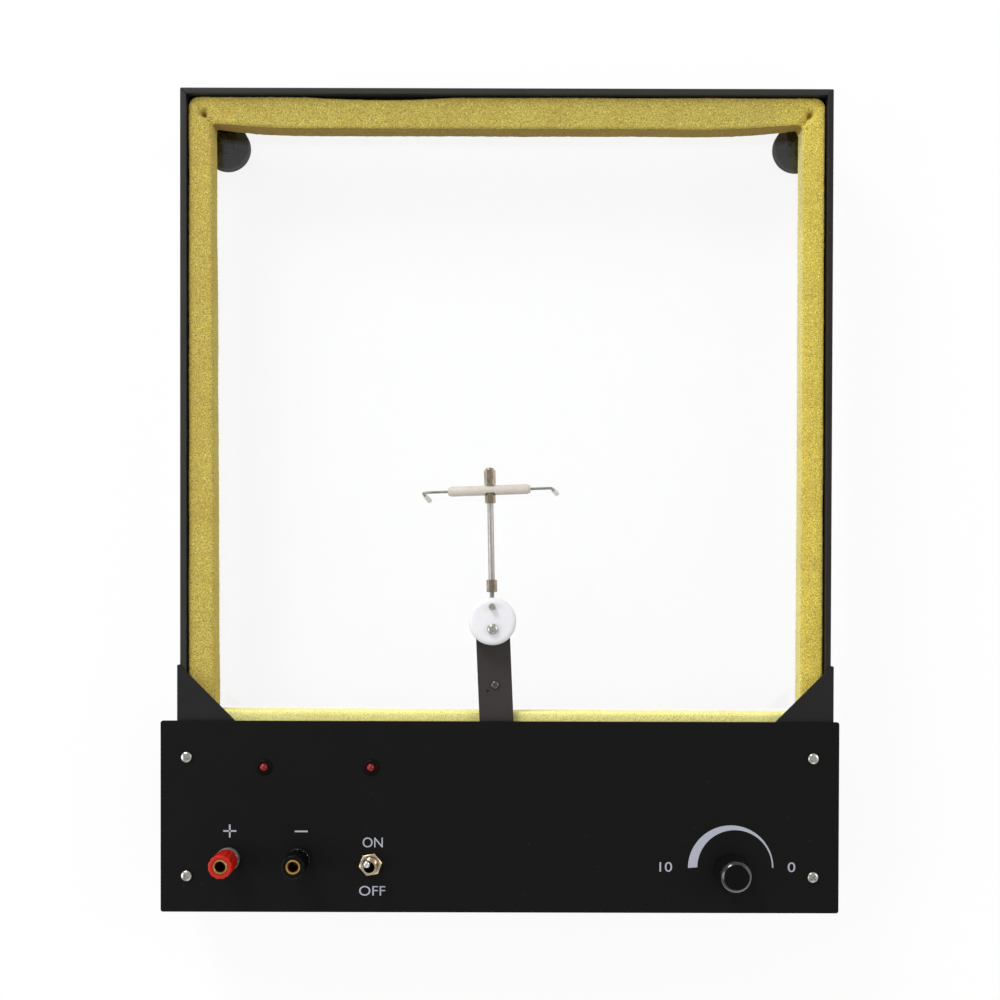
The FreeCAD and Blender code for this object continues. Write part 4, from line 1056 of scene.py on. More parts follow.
@dataclass
class Model:
    """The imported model."""

    frame: dict
    boxes: dict[str, Block] = field(default_factory=dict)

    def node(self, name: str) -> Thing:
        """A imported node's object."""
        return self.frame["nodes"][name]

    def box(self, name: str) -> Block:
        """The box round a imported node, measured once."""
        if name not in self.boxes:
            low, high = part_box(name)
            self.boxes[name] = Block(Vector(low) / MM, Vector(high) / MM)
        return self.boxes[name]

    def solids(self, name: str) -> list[Block]:
        """The boxes round a node's separate solids.

        Args:
            name: the node's name.

        Returns:
            One box for each solid, from left to right and then from front to back.
        """
        mesh = bmesh.new()
        mesh.from_mesh(self.node(name).data)
        bmesh.ops.remove_doubles(mesh, verts=mesh.verts[:], dist=2e-6)
        mesh.verts.ensure_lookup_table()
        waiting, boxes = set(mesh.verts), []
        while waiting:
            edge_of_search = [waiting.pop()]
            island = []
            while edge_of_search:
                corner = edge_of_search.pop()
                island.append(corner.co / MM)
                for edge in corner.link_edges:
                    other = edge.other_vert(corner)
                    if other in waiting:
                        waiting.remove(other)
                        edge_of_search.append(other)
            low = Vector(min(point[axis] for point in island) for axis in range(3))
            high = Vector(max(point[axis] for point in island) for axis in range(3))
            boxes.append(Block(low, high))
        mesh.free()
        return sorted(boxes, key=lambda box: (round(box.middle.x), round(box.middle.y), box.middle.z))

    def pivot(self, joint: str) -> Vector:
        """The point that a hinge turns about."""
        found = next(one for one in self.frame["joints"] if one["name"] == joint)
        return Vector(found["pos_m"]) / MM


@dataclass
class SubAssembly:
    """Pieces that are built and dressed together."""

    model: Model
    made: dict[str, Thing] = field(default_factory=dict, init=False)

    def build(self) -> None:
        """Makes the pieces."""
        raise NotImplementedError

    def dress(self) -> None:
        """Gives the pieces their finishes."""
        raise NotImplementedError

    def complete(self) -> None:
        """Builds and dresses, and reports each piece."""
        self.build()
        self.dress()
        for name, piece in self.made.items():
            LOG.info("%s: %s, %d faces", type(self).__name__, name, len(piece.data.polygons))

    def add(
        self, name: str, form: Form, body: str, nodes: Iterable[str] = (), crisp: float = 38,
        flat: bool = False,
    ) -> Thing:
        """Makes a form a piece of this sub-assembly.

        Args:
            name: the piece's name.
            form: its form.
            body: the body that it moves with.
            nodes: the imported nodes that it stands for.
            crisp: edges that turn by more than this many degrees stay sharp.
            flat: whether its large faces keep an even sheen.

        Returns:
            The piece.
        """
        piece = form.piece(name, crisp, flat)
        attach(piece, body)
        if nodes:
            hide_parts(*nodes)
        self.made[name] = piece
        return piece

    def add_folded(self, node: str, body: str, bevel: float) -> None:
        """Adds a rounded copy of a packed sheet-metal part or of another plain part."""
        form = folded(self.model.node(node), bevel)
        self.add(f"{node}_shell", form, body, [node], crisp=50, flat=True)

    def paint(self, *rows: Sequence[str | Finishes]) -> None:
        """Gives each named piece its finishes, in the order of its skins.

        Args:
            rows: each piece's name, its slot and its finishes.
        """
        for name, slot, *finishes in rows:
            piece = self.made[name]
            for finish in finishes:
                piece.data.materials.append(finish.value.material())


def pan_head(radius: float, rise: float, shank: float, length: float) -> Form:
    """A pan-head screw with a cross recess; its head sits on the origin.

    Args:
        radius: the head's radius.
        rise: the head's height.
        shank: the shank's radius.
        length: how far the shank reaches down.

    Returns:
        The screw as a form.
    """
    head = [
        (0, -0.05), (radius * 0.9, -0.05), (radius * 0.97, 0.02), (radius, 0.18), (radius, rise * 0.42),
        (radius * 0.94, rise * 0.66), (radius * 0.78, rise * 0.86), (radius * 0.5, rise * 0.97),
        (0, rise),
    ]
    form = Form().lathe(head, 40)
    reach, width, floor = radius * 0.56, radius * 0.13, rise * 0.4
    for yaw in (0, 90):
        tool = Form().block((-reach, -width, floor), (reach, width, rise + 1), 0, spot(yaw=yaw))
        form.carve(tool)
    middle = [(0, floor * 0.7), (width * 1.2, floor), (width * 2.2, rise + 0.5), (0, rise + 0.5)]
    form.carve(Form().lathe(middle, 16))
    form.thread(shank, -length, 0.1, 0.5, sides=20)
    return form


@dataclass
class TankFrame(SubAssembly):
    """The angle-bar frame, its two front gussets, and the glass on its seal."""

    bar_edge: float = 0.4
    gusset_edge: float = 0.3
    seal_edge: float = 0.1
    glass_edge: float = 0.5

    def build(self) -> None:
        """Rounds the edges of the bars, the gussets, the seal and the glass."""
        bars = [(f"{side}_wall", self.bar_edge) for side in ("rear", "left", "right", "front")]
        gussets = [(f"gusset_{side}", self.gusset_edge) for side in ("left", "right")]
        panes = [("glass_seal", self.seal_edge), ("glass_bottom", self.glass_edge)]
        for node, edge in bars + gussets + panes:
            self.add_folded(node, "base", edge)

    def dress(self) -> None:
        """Paints the frame and glazes it."""
        self.paint(
            ("rear_wall_shell", "frame_paint", Finishes.FRAME),
            ("left_wall_shell", "frame_paint", Finishes.FRAME),
            ("front_wall_shell", "frame_paint", Finishes.FRAME),
            # The right wall takes the darker copy of the frame's paint: painted shade.
            ("right_wall_shell", "frame_paint", Finishes.FRAME_PAINTED_SHADE),
            ("gusset_left_shell", "frame_paint", Finishes.GUSSET),
            ("gusset_right_shell", "frame_paint", Finishes.GUSSET),
            ("glass_seal_shell", "seal_rubber", Finishes.SEAL),
            ("glass_bottom_shell", "clear_glass", Finishes.GLASS),
        )


@dataclass
class FoamBeaches(SubAssembly):
    """Four strips of open-cell foam, cut by hand and pressed against the walls."""

    cell: float = 0.9
    edge: float = 1.6
    outer_edge: float = 1.2
    corner_edge: float = 4.0
    foot_edge: float = 0.6
    butt_edge: float = 0.02
    butt_sink: float = 0.12
    overlap: float = 1.4
    pore_depth: float = 0.3
    wave_depth: float = 0.35
    dimple_radius: float = 1.5
    dimple_depth: float = 2.2
    crease_depth: float = 1.9
    crease_width: float = 1.0
    turn_in: float = 1.3
    lift: float = 1.8
    bend_reach: float = 24.0
    bow: float = 1.0
    bow_place: Pair = (-50.0, 30.0)
    left_swell: Pair = (0.1, 1.45)
    right_swell: float = -0.55
    rear_swell: Triple = (0.8, 8.0, 40.0)
    front_swell: Pair = (0.25, -0.5)
    wall_lift: Pair = (1.6, 9.0)
    wall_press: Pair = (0.42, 4.0)
    face_share: float = 0.8
    facing: float = 0.9
    top_depth: float = 4.0

    def lattice(self, size: Vector) -> tuple[Loose, list[tuple[Vert, Vector]]]:
        """A closed box whose faces are even grids.

        Args:
            size: the box's side lengths.

        Returns:
            The mesh, and each corner with its place as shares of the sides.
        """
        mesh = bmesh.new()
        counts = [max(2, round(length / self.cell)) for length in size]
        known: dict[tuple[int, int, int], Vert] = {}
        order: list[tuple[Vert, Vector]] = []

        def corner(key: tuple[int, int, int]) -> Vert:
            """The corner at a place of the grid, made once."""
            if key not in known:
                share = Vector(step / count for step, count in zip(key, counts))
                known[key] = mesh.verts.new(Vector(s * length for s, length in zip(share, size)))
                order.append((known[key], share))
            return known[key]

        for axis in range(3):
            first, second = [other for other in range(3) if other != axis]
            for end in (0, counts[axis]):
                for i in range(counts[first]):
                    for j in range(counts[second]):
                        corners = []
                        for a, b in ((0, 0), (1, 0), (1, 1), (0, 1)):
                            key = [0, 0, 0]
                            key[axis], key[first], key[second] = end, i + a, j + b
                            corners.append(corner(tuple(key)))
                        mesh.faces.new(corners)
        bmesh.ops.recalc_face_normals(mesh, faces=mesh.faces[:])
        return mesh, order

    def edges(self, point: Vector, size: Vector, outward: Side) -> list[list[float]]:
        """How much each edge is rounded near a corner of a strip.

        Args:
            point: the corner, from the strip's lowest corner.
            size: the strip's side lengths.
            outward: the side of the tank that the strip lies on.

        Returns:
            The rounding at the low and at the high end of each axis.
        """
        radii = [[self.edge, self.edge] for _ in range(2)] + [[self.foot_edge, self.edge]]
        if outward is Side.REAR:
            end = min(point.x, size.x - point.x)
            share = clamped((end - self.side_width) / self.edge)
            more = self.corner_edge - self.outer_edge
            outer, beside = (
                self.outer_edge + more * clamped(2 - apart / self.corner_edge)
                for apart in (end, size.y - point.y)
            )
            radii[0] = [beside, beside]
            radii[1] = [self.butt_edge + (self.edge - self.butt_edge) * share, outer]
        elif outward is Side.FRONT:
            radii[0] = [self.butt_edge, self.butt_edge]
        else:
            radii[1] = [self.butt_edge, self.butt_edge]
            radii[0][outward is Side.RIGHT] = self.outer_edge
        return radii

    @property
    def side_width(self) -> float:
        """The width of the side strips."""
        return self.model.box("foam_left").size.x

    def rounded(self, point: Vector, size: Vector, outward: Side) -> tuple[Vector, Vector]:
        """Moves a corner of a strip onto rounded edges.

        Args:
            point: the corner, from the strip's lowest corner.
            size: the strip's side lengths.
            outward: the side of the tank that the strip lies on.

        Returns:
            The new place, and the direction that points out of the strip there.
        """
        radii = self.edges(point, size, outward)
        limits = [(low, size[axis] - high) for axis, (low, high) in enumerate(radii)]
        core = Vector(min(max(value, low), high) for value, (low, high) in zip(point, limits))
        away = point - core
        if away.length < 1e-6:
            return point, Vector((0, 0, 1))
        reach = [low if away[axis] < 0 else high for axis, (low, high) in enumerate(radii)]
        direction = away.normalized()
        return core + Vector(d * r for d, r in zip(direction, reach)), direction

    def strip(self, name: str, outward: Side) -> Form:
        """One strip, with its rounded edges, pores, waves and dents.

        Args:
            name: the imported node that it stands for.
            outward: the side of the tank that it lies on.

        Returns:
            The strip as a form, with the face that looks into the tank in the second skin.
        """
        box = self.model.box(name)
        mesh, order = self.lattice(box.size)
        inner = self.painted_light_faces(mesh, box.size, outward)
        for corner, share in order:
            place, direction = self.rounded(corner.co.copy(), box.size, outward)
            corner.co = self.shaped(box.low + place, direction, share, box, outward)
        form = Form()
        form.take(mesh)
        form.mesh.faces.ensure_lookup_table()
        # The inner faces take their own tone: painted light and shade.
        for index in inner:
            form.mesh.faces[index].material_index = 1
        return form

    def painted_light_faces(self, mesh: Loose, size: Vector, outward: Side) -> list[int]:
        """The faces of a plain strip that look into the tank, below its rounded top edge; they take their
        own tone of painted light and shade.

        Args:
            mesh: the plain strip.
            size: its side lengths.
            outward: the side of the tank that it lies on.

        Returns:
            The faces' numbers.
        """
        inward = -Vector((*outward.value, 0))
        mesh.normal_update()
        mesh.faces.index_update()
        below = size.z - self.edge * self.face_share
        facing = [face for face in mesh.faces if face.normal.dot(inward) > self.facing]
        return [face.index for face in facing if face.calc_center_median().z < below]

    def swell(self, world: Vector, share: Vector, box: Block, outward: Side) -> Vector:
        """How far the soft strip swells into the tank, or falls short of its width, at a corner.

        Args:
            world: the corner's place.
            share: its place as shares of the strip's sides.
            box: the strip's box.
            outward: the side of the tank that the strip lies on.

        Returns:
            The corner's move.
        """
        if outward is Side.LEFT:
            rear, front = self.left_swell
            return Vector(((front + (rear - front) * share.y) * share.x, 0, 0))
        if outward is Side.RIGHT:
            return Vector((-self.right_swell * (1 - share.x), 0, 0))
        if outward is Side.REAR:
            most, start, end = self.rear_swell
            from_end = min(world.x - box.low.x, box.high.x - world.x) - self.side_width
            grown = clamped((from_end - start) / (end - start))
            return Vector((0, -most * grown * grown * (3 - 2 * grown) * (1 - share.y), 0))
        left, right = self.front_swell
        return Vector((0, (left + (right - left) * share.x) * share.y, 0))

    def shaped(self, world: Vector, direction: Vector, share: Vector, box: Block, outward: Side) -> Vector:
        """Moves one corner of a strip the way the cut and pressed foam does.

        Args:
            world: the corner's place.
            direction: out of the strip there.
            share: its place as shares of the strip's sides.
            box: the strip's box.
            outward: the side of the tank that the strip lies on.

        Returns:
            The corner's new place.
        """
        pore = noise.noise(world * 0.9) + 0.6 * noise.noise(world * 2.1)
        wave = noise.noise(world * 0.045 + Vector((7, 3, 1)))
        sink = self.pore_depth * (0.5 + 0.5 * pore) + self.wave_depth * (0.5 + 0.5 * wave)
        moved = world - direction * max(0.0, sink) + self.swell(world, share, box, outward)
        if outward is not Side.FRONT:
            moved += self.against_walls(world, share)
        if outward is Side.REAR:
            return self.rear_bends(self.pressed(moved, box.low.z), world, share, box)
        if outward in (Side.LEFT, Side.RIGHT):
            moved = self.pressed(moved, box.low.z)
            if share.y > 0.999:
                moved += Vector((0, self.overlap, -self.butt_sink))
        return moved

    def against_walls(self, world: Vector, share: Vector) -> Vector:
        """How far a corner of a strip is pressed against the walls, and pushed up along them.

        Args:
            world: the corner's place.
            share: that place as shares of the strip's sides.

        Returns:
            The corner's move.
        """
        rear = self.model.box("foam_rear")
        left, right, back = world.x - rear.low.x, rear.high.x - world.x, rear.high.y - world.y
        press, reach = self.wall_press
        move = Vector((0, press * max(0.0, 1 - back / reach), 0))
        move.x = press * (max(0.0, 1 - right / reach) - max(0.0, 1 - left / reach))
        rise, width = self.wall_lift
        move.z = rise * max(0.0, 1 - min(left, right, back) / width) * share.z
        return move

    def rear_bends(self, moved: Vector, world: Vector, share: Vector, box: Block) -> Vector:
        """Bends the rear strip's inner face back and up where it turns into each corner.

        Args:
            moved: where the corner is by now.
            world: where it was at first.
            share: that place as shares of the strip's sides.
            box: the strip's box.

        Returns:
            The corner's new place.
        """
        from_end = min(world.x - box.low.x, box.high.x - world.x) - self.side_width
        if from_end > 0:
            near = max(0.0, 1 - from_end / self.bend_reach) ** 2
            moved.y += self.turn_in * near * (1 - share.y)
            moved.z += self.lift * near * (1 - share.y) * (1 - share.z)
        middle, reach = self.bow_place
        bulge = max(0.0, 1 - ((world.x - middle) / reach) ** 2)
        moved.y -= self.bow * bulge * share.y
        return moved

    def pressed(self, moved: Vector, floor: float) -> Vector:
        """Presses each fold's dimple, and the crease from it to the inner corner, into the top.

        Args:
            moved: where the corner is by now.
            floor: the height of the strip's underside.

        Returns:
            The corner's new place.
        """
        if moved.z < floor + self.top_depth:
            return moved
        rear = self.model.box("foam_rear")
        inner_reach = abs(rear.low.x - FOLDS[0][0])
        flat = Vector((moved.x, moved.y))
        for x, y, _ in FOLDS:
            side = math.copysign(1, rear.middle.x - x)
            dimple = Vector((x, y))
            inner = Vector((x + side * (self.side_width - inner_reach), rear.low.y))
            moved.z -= self.dimple_depth * math.exp(-(((flat - dimple).length / self.dimple_radius) ** 2))
            line = inner - dimple
            along = clamped((flat - dimple).dot(line) / line.length_squared)
            gap = (flat - dimple - line * along).length
            moved.z -= self.crease_depth * math.exp(-((gap / self.crease_width) ** 2))
        return moved

    def build(self) -> None:
        """Cuts the four strips."""
        for side in (Side.REAR, Side.LEFT, Side.RIGHT, Side.FRONT):
            name = f"foam_{side.name.lower()}"
            piece = self.add(f"{name}_strip", self.strip(name, side), "base", [name], crisp=75)

    def dress(self) -> None:
        """Colours the foam: each strip and its inner face have their own tones, lighter or darker by how
        the light falls there, which is painted light and shade.
        """
        self.paint(
            ("foam_rear_strip", "yellow_foam", Finishes.FOAM_REAR, Finishes.FACE_REAR_PAINTED_SHADE),
            ("foam_left_strip", "yellow_foam", Finishes.FOAM_LEFT, Finishes.FACE_LEFT_PAINTED_LIGHT),
            ("foam_right_strip", "yellow_foam", Finishes.FOAM_RIGHT, Finishes.FACE_RIGHT_PAINTED_LIGHT),
            ("foam_front_strip", "yellow_foam", Finishes.FOAM_FRONT, Finishes.FOAM_FRONT),
        )


@dataclass
class LevellingFeet(SubAssembly):
    """Four rubber pads on threaded studs, and the plates that the studs screw into."""

    chamfer: float = 0.8
    stud_radius: float = 2.5
    seat: float = 2.0
    pitch: float = 0.8
    flange_radius: float = 4.5
    flange_height: float = 1.2
    flange_teeth: int = 24
    groove: float = 0.45
    plate_edge: float = 0.08
    names: tuple[str, ...] = ("rear_left", "rear_right", "front_left", "front_right")

    def pad(self, box: Block) -> Form:
        """One rubber pad with a grip groove and a recessed sole.

        Args:
            box: the pad's box.

        Returns:
            The pad as a form.
        """
        radius, height = box.size.x / 2, box.size.z
        bore = self.stud_radius + FIT
        outline = [
            (0, 0.5), (radius - 3.4, 0.5), (radius - 3.0, 0), (radius - self.chamfer, 0),
            (radius, self.chamfer), (radius, height * 0.4), (radius - self.groove, height * 0.45),
            (radius - self.groove, height * 0.55), (radius, height * 0.6),
            (radius, height - self.chamfer), (radius - self.chamfer, height), (bore + 0.5, height),
            (bore, height - 0.3), (bore, self.seat), (0, self.seat),
        ]
        return Form().lathe(softened(outline, 0.3, 2), 72, where=box.seat)

    def stud(self, box: Block, pad_top: float) -> Form:
        """One stud: a plain end in the pad, a knurled flange and a thread.

        Args:
            box: the stud's box.
            pad_top: the height of its pad's top.

        Returns:
            The stud as a form.
        """
        flange = pad_top + 0.1
        top = flange + self.flange_height
        form = Form().lathe(barrel(self.stud_radius, box.low.z, flange), 32, where=box.axis)
        knurl = flute_cut(self.flange_teeth, self.flange_radius + 0.18, 0.4)
        rim = softened(barrel(self.flange_radius, flange, top), 0.2)
        form.lathe(rim, self.flange_teeth * 6, knurl, box.axis)
        return form.thread(self.stud_radius, top - 0.1, box.high.z, self.pitch, where=box.axis)

    def build(self) -> None:
        """Makes the pads, studs and plates."""
        for name in self.names:
            box = self.model.box(f"foot_pad_{name}")
            self.add(f"pad_{name}_turned", self.pad(box), f"pad_{name}", [f"foot_pad_{name}"])
            stud = self.stud(self.model.box(f"foot_stud_{name}"), box.high.z)
            self.add(f"stud_{name}_turned", stud, f"stud_{name}", [f"foot_stud_{name}"])
        self.add_folded("foot_plates", "base", self.plate_edge)

    def dress(self) -> None:
        """Gives the feet their rubber and zinc."""
        for name in self.names:
            self.paint(
                (f"pad_{name}_turned", "foot_rubber", Finishes.FOOT),
                (f"stud_{name}_turned", "stud_zinc", Finishes.ZINC),
            )
        self.paint(("foot_plates_shell", "frame_paint", Finishes.PLATE))


@dataclass
class ControlBox(SubAssembly):
    """The folded tray, the panel on it, their screws, and the panel's printed marks."""

    panel_edge: float = 0.3
    tray_edge: float = 0.35
    head_rise: float = 1.5
    print_rise: float = 0.03
    sign_length: float = 5.4
    sign_width: float = 0.66
    plus_place: Pair = (-111.4, -136.5)
    minus_place: Pair = (-81.9, -136.6)
    crescent_outer: Triple = (95.39, -151.3, 17.64)
    crescent_inner: Triple = (97.02, -151.0, 15.39)
    marks: tuple[tuple[str, float, float, float, float], ...] = (
        ("ON", -52.4, -141.1, 8.3, 4.1),
        ("OFF", -52.6, -161.1, 10.8, 4.0),
        ("10", 68.6, -150.9, 5.2, 4.0),
        ("0", 120.5, -150.9, 3.1, 4.0),
    )

    def screws(self) -> Form:
        """The eight screws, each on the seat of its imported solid.

        Returns:
            The screws as one form.
        """
        form = Form()
        panel_top = self.model.box("panel_plate").high.z
        for box in self.model.solids("case_screws"):
            upright = box.size.z > box.size.y or box.high.z > panel_top
            radius = box.size.x / 2
            length = (box.size.z if upright else box.size.y) - self.head_rise
            screw = pan_head(radius, self.head_rise, 1.2, length)
            if upright:
                turn = (box.middle.x * 3.1 + box.middle.y * 1.7) % 90
                where = spot(box.middle.x, box.middle.y, panel_top, yaw=turn)
            else:
                where = spot(box.middle.x, box.low.y + self.head_rise, box.middle.z, roll=90)
            form.join(screw, where)
        return form

    def letters(self, text: str, x: float, y: float, width: float, height: float) -> Loose:
        """A printed word or number as a thin flat mesh.

        Args:
            text: what it says.
            x: where its middle lies along the panel.
            y: where its middle lies across the panel.
            width: how wide it is.
            height: how tall its letters are.

        Returns:
            The loose mesh.
        """
        curve = bpy.data.curves.new("mark", "FONT")
        curve.body, curve.extrude = text, self.print_rise / 2
        holder = present("mark", curve)
        graph = bpy.context.evaluated_depsgraph_get()
        flat = bpy.data.meshes.new_from_object(holder.evaluated_get(graph))
        mesh = bmesh.new()
        mesh.from_mesh(flat)
        spans = []
        for axis in range(2):
            places = [corner.co[axis] for corner in mesh.verts]
            spans.append((min(places), max(places)))
        (left, right), (low, high) = spans
        base = self.model.box("panel_plate").high.z + self.print_rise / 2
        bmesh.ops.translate(mesh, vec=(-(left + right) / 2, -(low + high) / 2, 0), verts=mesh.verts)
        bmesh.ops.scale(mesh, vec=(width / (right - left), height / (high - low), 1), verts=mesh.verts)
        bmesh.ops.translate(mesh, vec=(x, y, base), verts=mesh.verts)
        bpy.data.objects.remove(holder)
        bpy.data.curves.remove(curve)
        bpy.data.meshes.remove(flat)
        return mesh

    def sign(self, place: Pair, crossed: bool) -> Form:
        """A printed minus, or a plus where it is crossed.

        Args:
            place: where its middle lies on the panel.
            crossed: whether it is a plus.

        Returns:
            The sign as a form.
        """
        form = Form()
        base = self.model.box("panel_plate").high.z
        half, width = self.sign_length / 2, self.sign_width / 2
        for yaw in (0, 90)[: 1 + crossed]:
            low, high = (-half, -width, 0), (half, width, self.print_rise)
            form.block(low, high, 0, spot(*place, base, yaw=yaw))
        return form

    def crescent(self) -> Form:
        """The printed crescent over the dial, broad at its left end and thin at its right.

        Returns:
            The crescent as a form.
        """
        form = Form()
        steps = 72
        base = self.model.box("panel_plate").high.z
        layers = []
        for height in (base, base + self.print_rise):
            for x, y, radius in (self.crescent_outer, self.crescent_inner):
                points = [polar(radius, math.pi * step / steps) for step in range(steps + 1)]
                layers.append([form.mesh.verts.new((x + across, y + up, height)) for across, up in points])
        low_outer, low_inner, outer, inner = layers
        for step in range(steps):
            for first, second in ((outer, inner), (low_outer, outer), (low_inner, inner)):
                form.face([first[step], first[step + 1], second[step + 1], second[step]])
        for step in (0, steps):
            form.face([low_outer[step], outer[step], inner[step], low_inner[step]])
        return form.settle(0, None)

    def build(self) -> None:
        """Makes the box, its screws and the printed marks."""
        self.add_folded("panel_plate", "base", self.panel_edge)
        self.add_folded("control_tray", "base", self.tray_edge)
        self.add("case_screws_turned", self.screws(), "base", ["case_screws"])
        legends = Form()
        for mark in self.marks:
            legends.take(self.letters(*mark))
        legends.join(self.crescent())
        legends.join(self.sign(self.plus_place, True))
        legends.join(self.sign(self.minus_place, False))
        self.add("legends", legends, "base")

    def dress(self) -> None:
        """Paints the box and prints its marks."""
        self.paint(
            ("panel_plate_shell", "panel_paint", Finishes.PANEL),
            ("control_tray_shell", "tray_paint", Finishes.TRAY),
            ("case_screws_turned", "screw_steel", Finishes.SCREW),
            ("legends", "panel_paint", Finishes.INK),
        )


@dataclass
class Lamps(SubAssembly):
    """Two red indicator lamps in black bezels."""

    lens_radius: float = 1.85
    neck_radius: float = 2.6
    bezel_rise: float = 1.1

    def build(self) -> None:
        """Turns the bezels and the domed lenses."""
        bezels, lenses = Form(), Form()
        for box in self.model.solids("lamp_bezels"):
            radius, seat = box.size.x / 2, box.high.z - self.bezel_rise
            inner = self.lens_radius + FIT
            outline = [
                (inner, box.low.z), (self.neck_radius, box.low.z), (self.neck_radius, seat),
                (radius, seat), (radius, seat + self.bezel_rise * 0.4),
                (radius - self.bezel_rise * 0.6, box.high.z), (inner + 0.25, box.high.z),
                (inner, box.high.z - 0.35),
            ]
            bezels.lathe(softened(outline, 0.15, 2), 56, where=box.axis)
        for box in self.model.solids("lamp_lenses"):
            radius = box.size.x / 2
            dome = arc(radius, box.high.z - radius, range(0, 90, 10))
            outline = [(0, box.low.z), (radius, box.low.z), *dome, (0, box.high.z)]
            lenses.lathe(outline, 48, where=box.axis)
        self.add("lamp_bezels_turned", bezels, "base", ["lamp_bezels"])
        self.add("lamp_lenses_turned", lenses, "base", ["lamp_lenses"])

    def dress(self) -> None:
        """Gives the lamps their red and black."""
        self.paint(
            ("lamp_bezels_turned", "bezel_black", Finishes.BEZEL),
            ("lamp_lenses_turned", "lamp_red", Finishes.LAMP),
        )


@dataclass
class BindingPosts(SubAssembly):
    """Two binding posts: collar, metal core, nut, washer and fluted cap."""

    core_radius: float = 3.0
    socket_radius: float = 2.05
    socket_depth: float = 14.0
    flutes: int = 12
    flute_radius: float = 0.75
    neck_radius: float = 4.0
    flute_set: float = 0.62

    @property
    def bore(self) -> float:
        """The hole that fits the core."""
        return self.core_radius + FIT

    def cap(self, box: Block) -> Form:
        """One fluted cap."""
        radius, bore, top = box.size.x / 2, self.bore, box.high.z
        outline = [*barrel(radius, box.low.z, top, bore)[:3], (bore + 0.25, top), (bore, top - 0.25)]
        limit = flute_cut(self.flutes, radius + self.flute_radius * self.flute_set, self.flute_radius)
        return Form().lathe(softened(outline, 0.7, 4), self.flutes * 12, limit, box.axis)

    def core(self, box: Block) -> Form:
        """One metal core with its socket.

        Args:
            box: the core's box.

        Returns:
            The core, with its socket in the second skin.
        """
        top = box.high.z
        radius, socket = self.core_radius, self.socket_radius
        floor = top - self.socket_depth
        outline = [
            (0, box.low.z), (radius - 0.4, box.low.z), (radius, box.low.z + 0.4), (radius, top - 0.35),
            (radius - 0.3, top), (socket + 0.35, top), (socket, top - 0.4), (socket, floor),
            (0, floor - 0.8),
        ]
        form = Form().lathe(outline, 56, where=box.axis)
        # The socket's faces take the darker brass: painted shade in the hole.
        for face in form.mesh.faces:
            middle = face.calc_center_median()
            inside = (middle - box.middle).xy.length < socket + 0.02 and middle.z < top - 0.4
            face.material_index = int(inside and middle.z > floor - 0.9)
        return form

    def build(self) -> None:
        """Makes both posts."""
        panel = self.model.box("panel_plate")
        collars = Form()
        middle = (self.model.box("cap_red").middle.x + self.model.box("cap_black").middle.x) / 2
        for box in self.model.solids("post_collars"):
            collars.skin = 2
            outline = barrel(box.size.x / 2, box.low.z, box.high.z, self.bore)
            if box.high.z >= panel.high.z:
                collars.skin = 0 if box.middle.x < middle else 1
                neck = barrel(self.neck_radius, box.low.z, panel.high.z, self.bore)[:3]
                outline = [*neck, (outline[1][0], panel.high.z), *outline[2:]]
            collars.lathe(softened(outline, 0.35), 64, where=box.axis)
        cores, nuts = Form(), Form()
        for box in self.model.solids("post_bodies"):
            cores.join(self.core(box))
        for box in self.model.solids("post_nuts"):
            nuts.hexagon(box.size.y, box.size.z, self.bore, box.seat)
        self.add("post_collars_turned", collars, "base", ["post_collars"])
        self.add("post_cores_turned", cores, "base", ["post_bodies"])
        self.add("post_nuts_cut", nuts, "base", ["post_nuts"], crisp=25)
        for colour in ("red", "black"):
            cap, washer = self.model.box(f"cap_{colour}"), self.model.box(f"washer_{colour}")
            self.add(f"cap_{colour}_moulded", self.cap(cap), f"cap_{colour}", [f"cap_{colour}"], crisp=50)
            outline = barrel(washer.size.x / 2, washer.low.z, washer.high.z, self.bore)
            form = Form().lathe(softened(outline, 0.2), 56, where=washer.axis)
            self.add(f"washer_{colour}_turned", form, f"washer_{colour}", [f"washer_{colour}"])

    def dress(self) -> None:
        """Gives the posts their plastics and metals."""
        self.paint(
            ("post_collars_turned", "collar_smoke", Finishes.SMOKE, Finishes.COLLAR, Finishes.BUSH),
            ("post_cores_turned", "post_brass", Finishes.BRASS, Finishes.SOCKET),
            ("post_nuts_cut", "screw_steel", Finishes.NICKEL),
            ("cap_red_moulded", "cap_red", Finishes.CAP_RED),
            ("cap_black_moulded", "cap_black", Finishes.CAP_BLACK),
            ("washer_red_turned", "washer_nickel", Finishes.NICKEL),
            ("washer_black_turned", "washer_nickel", Finishes.NICKEL),
        )


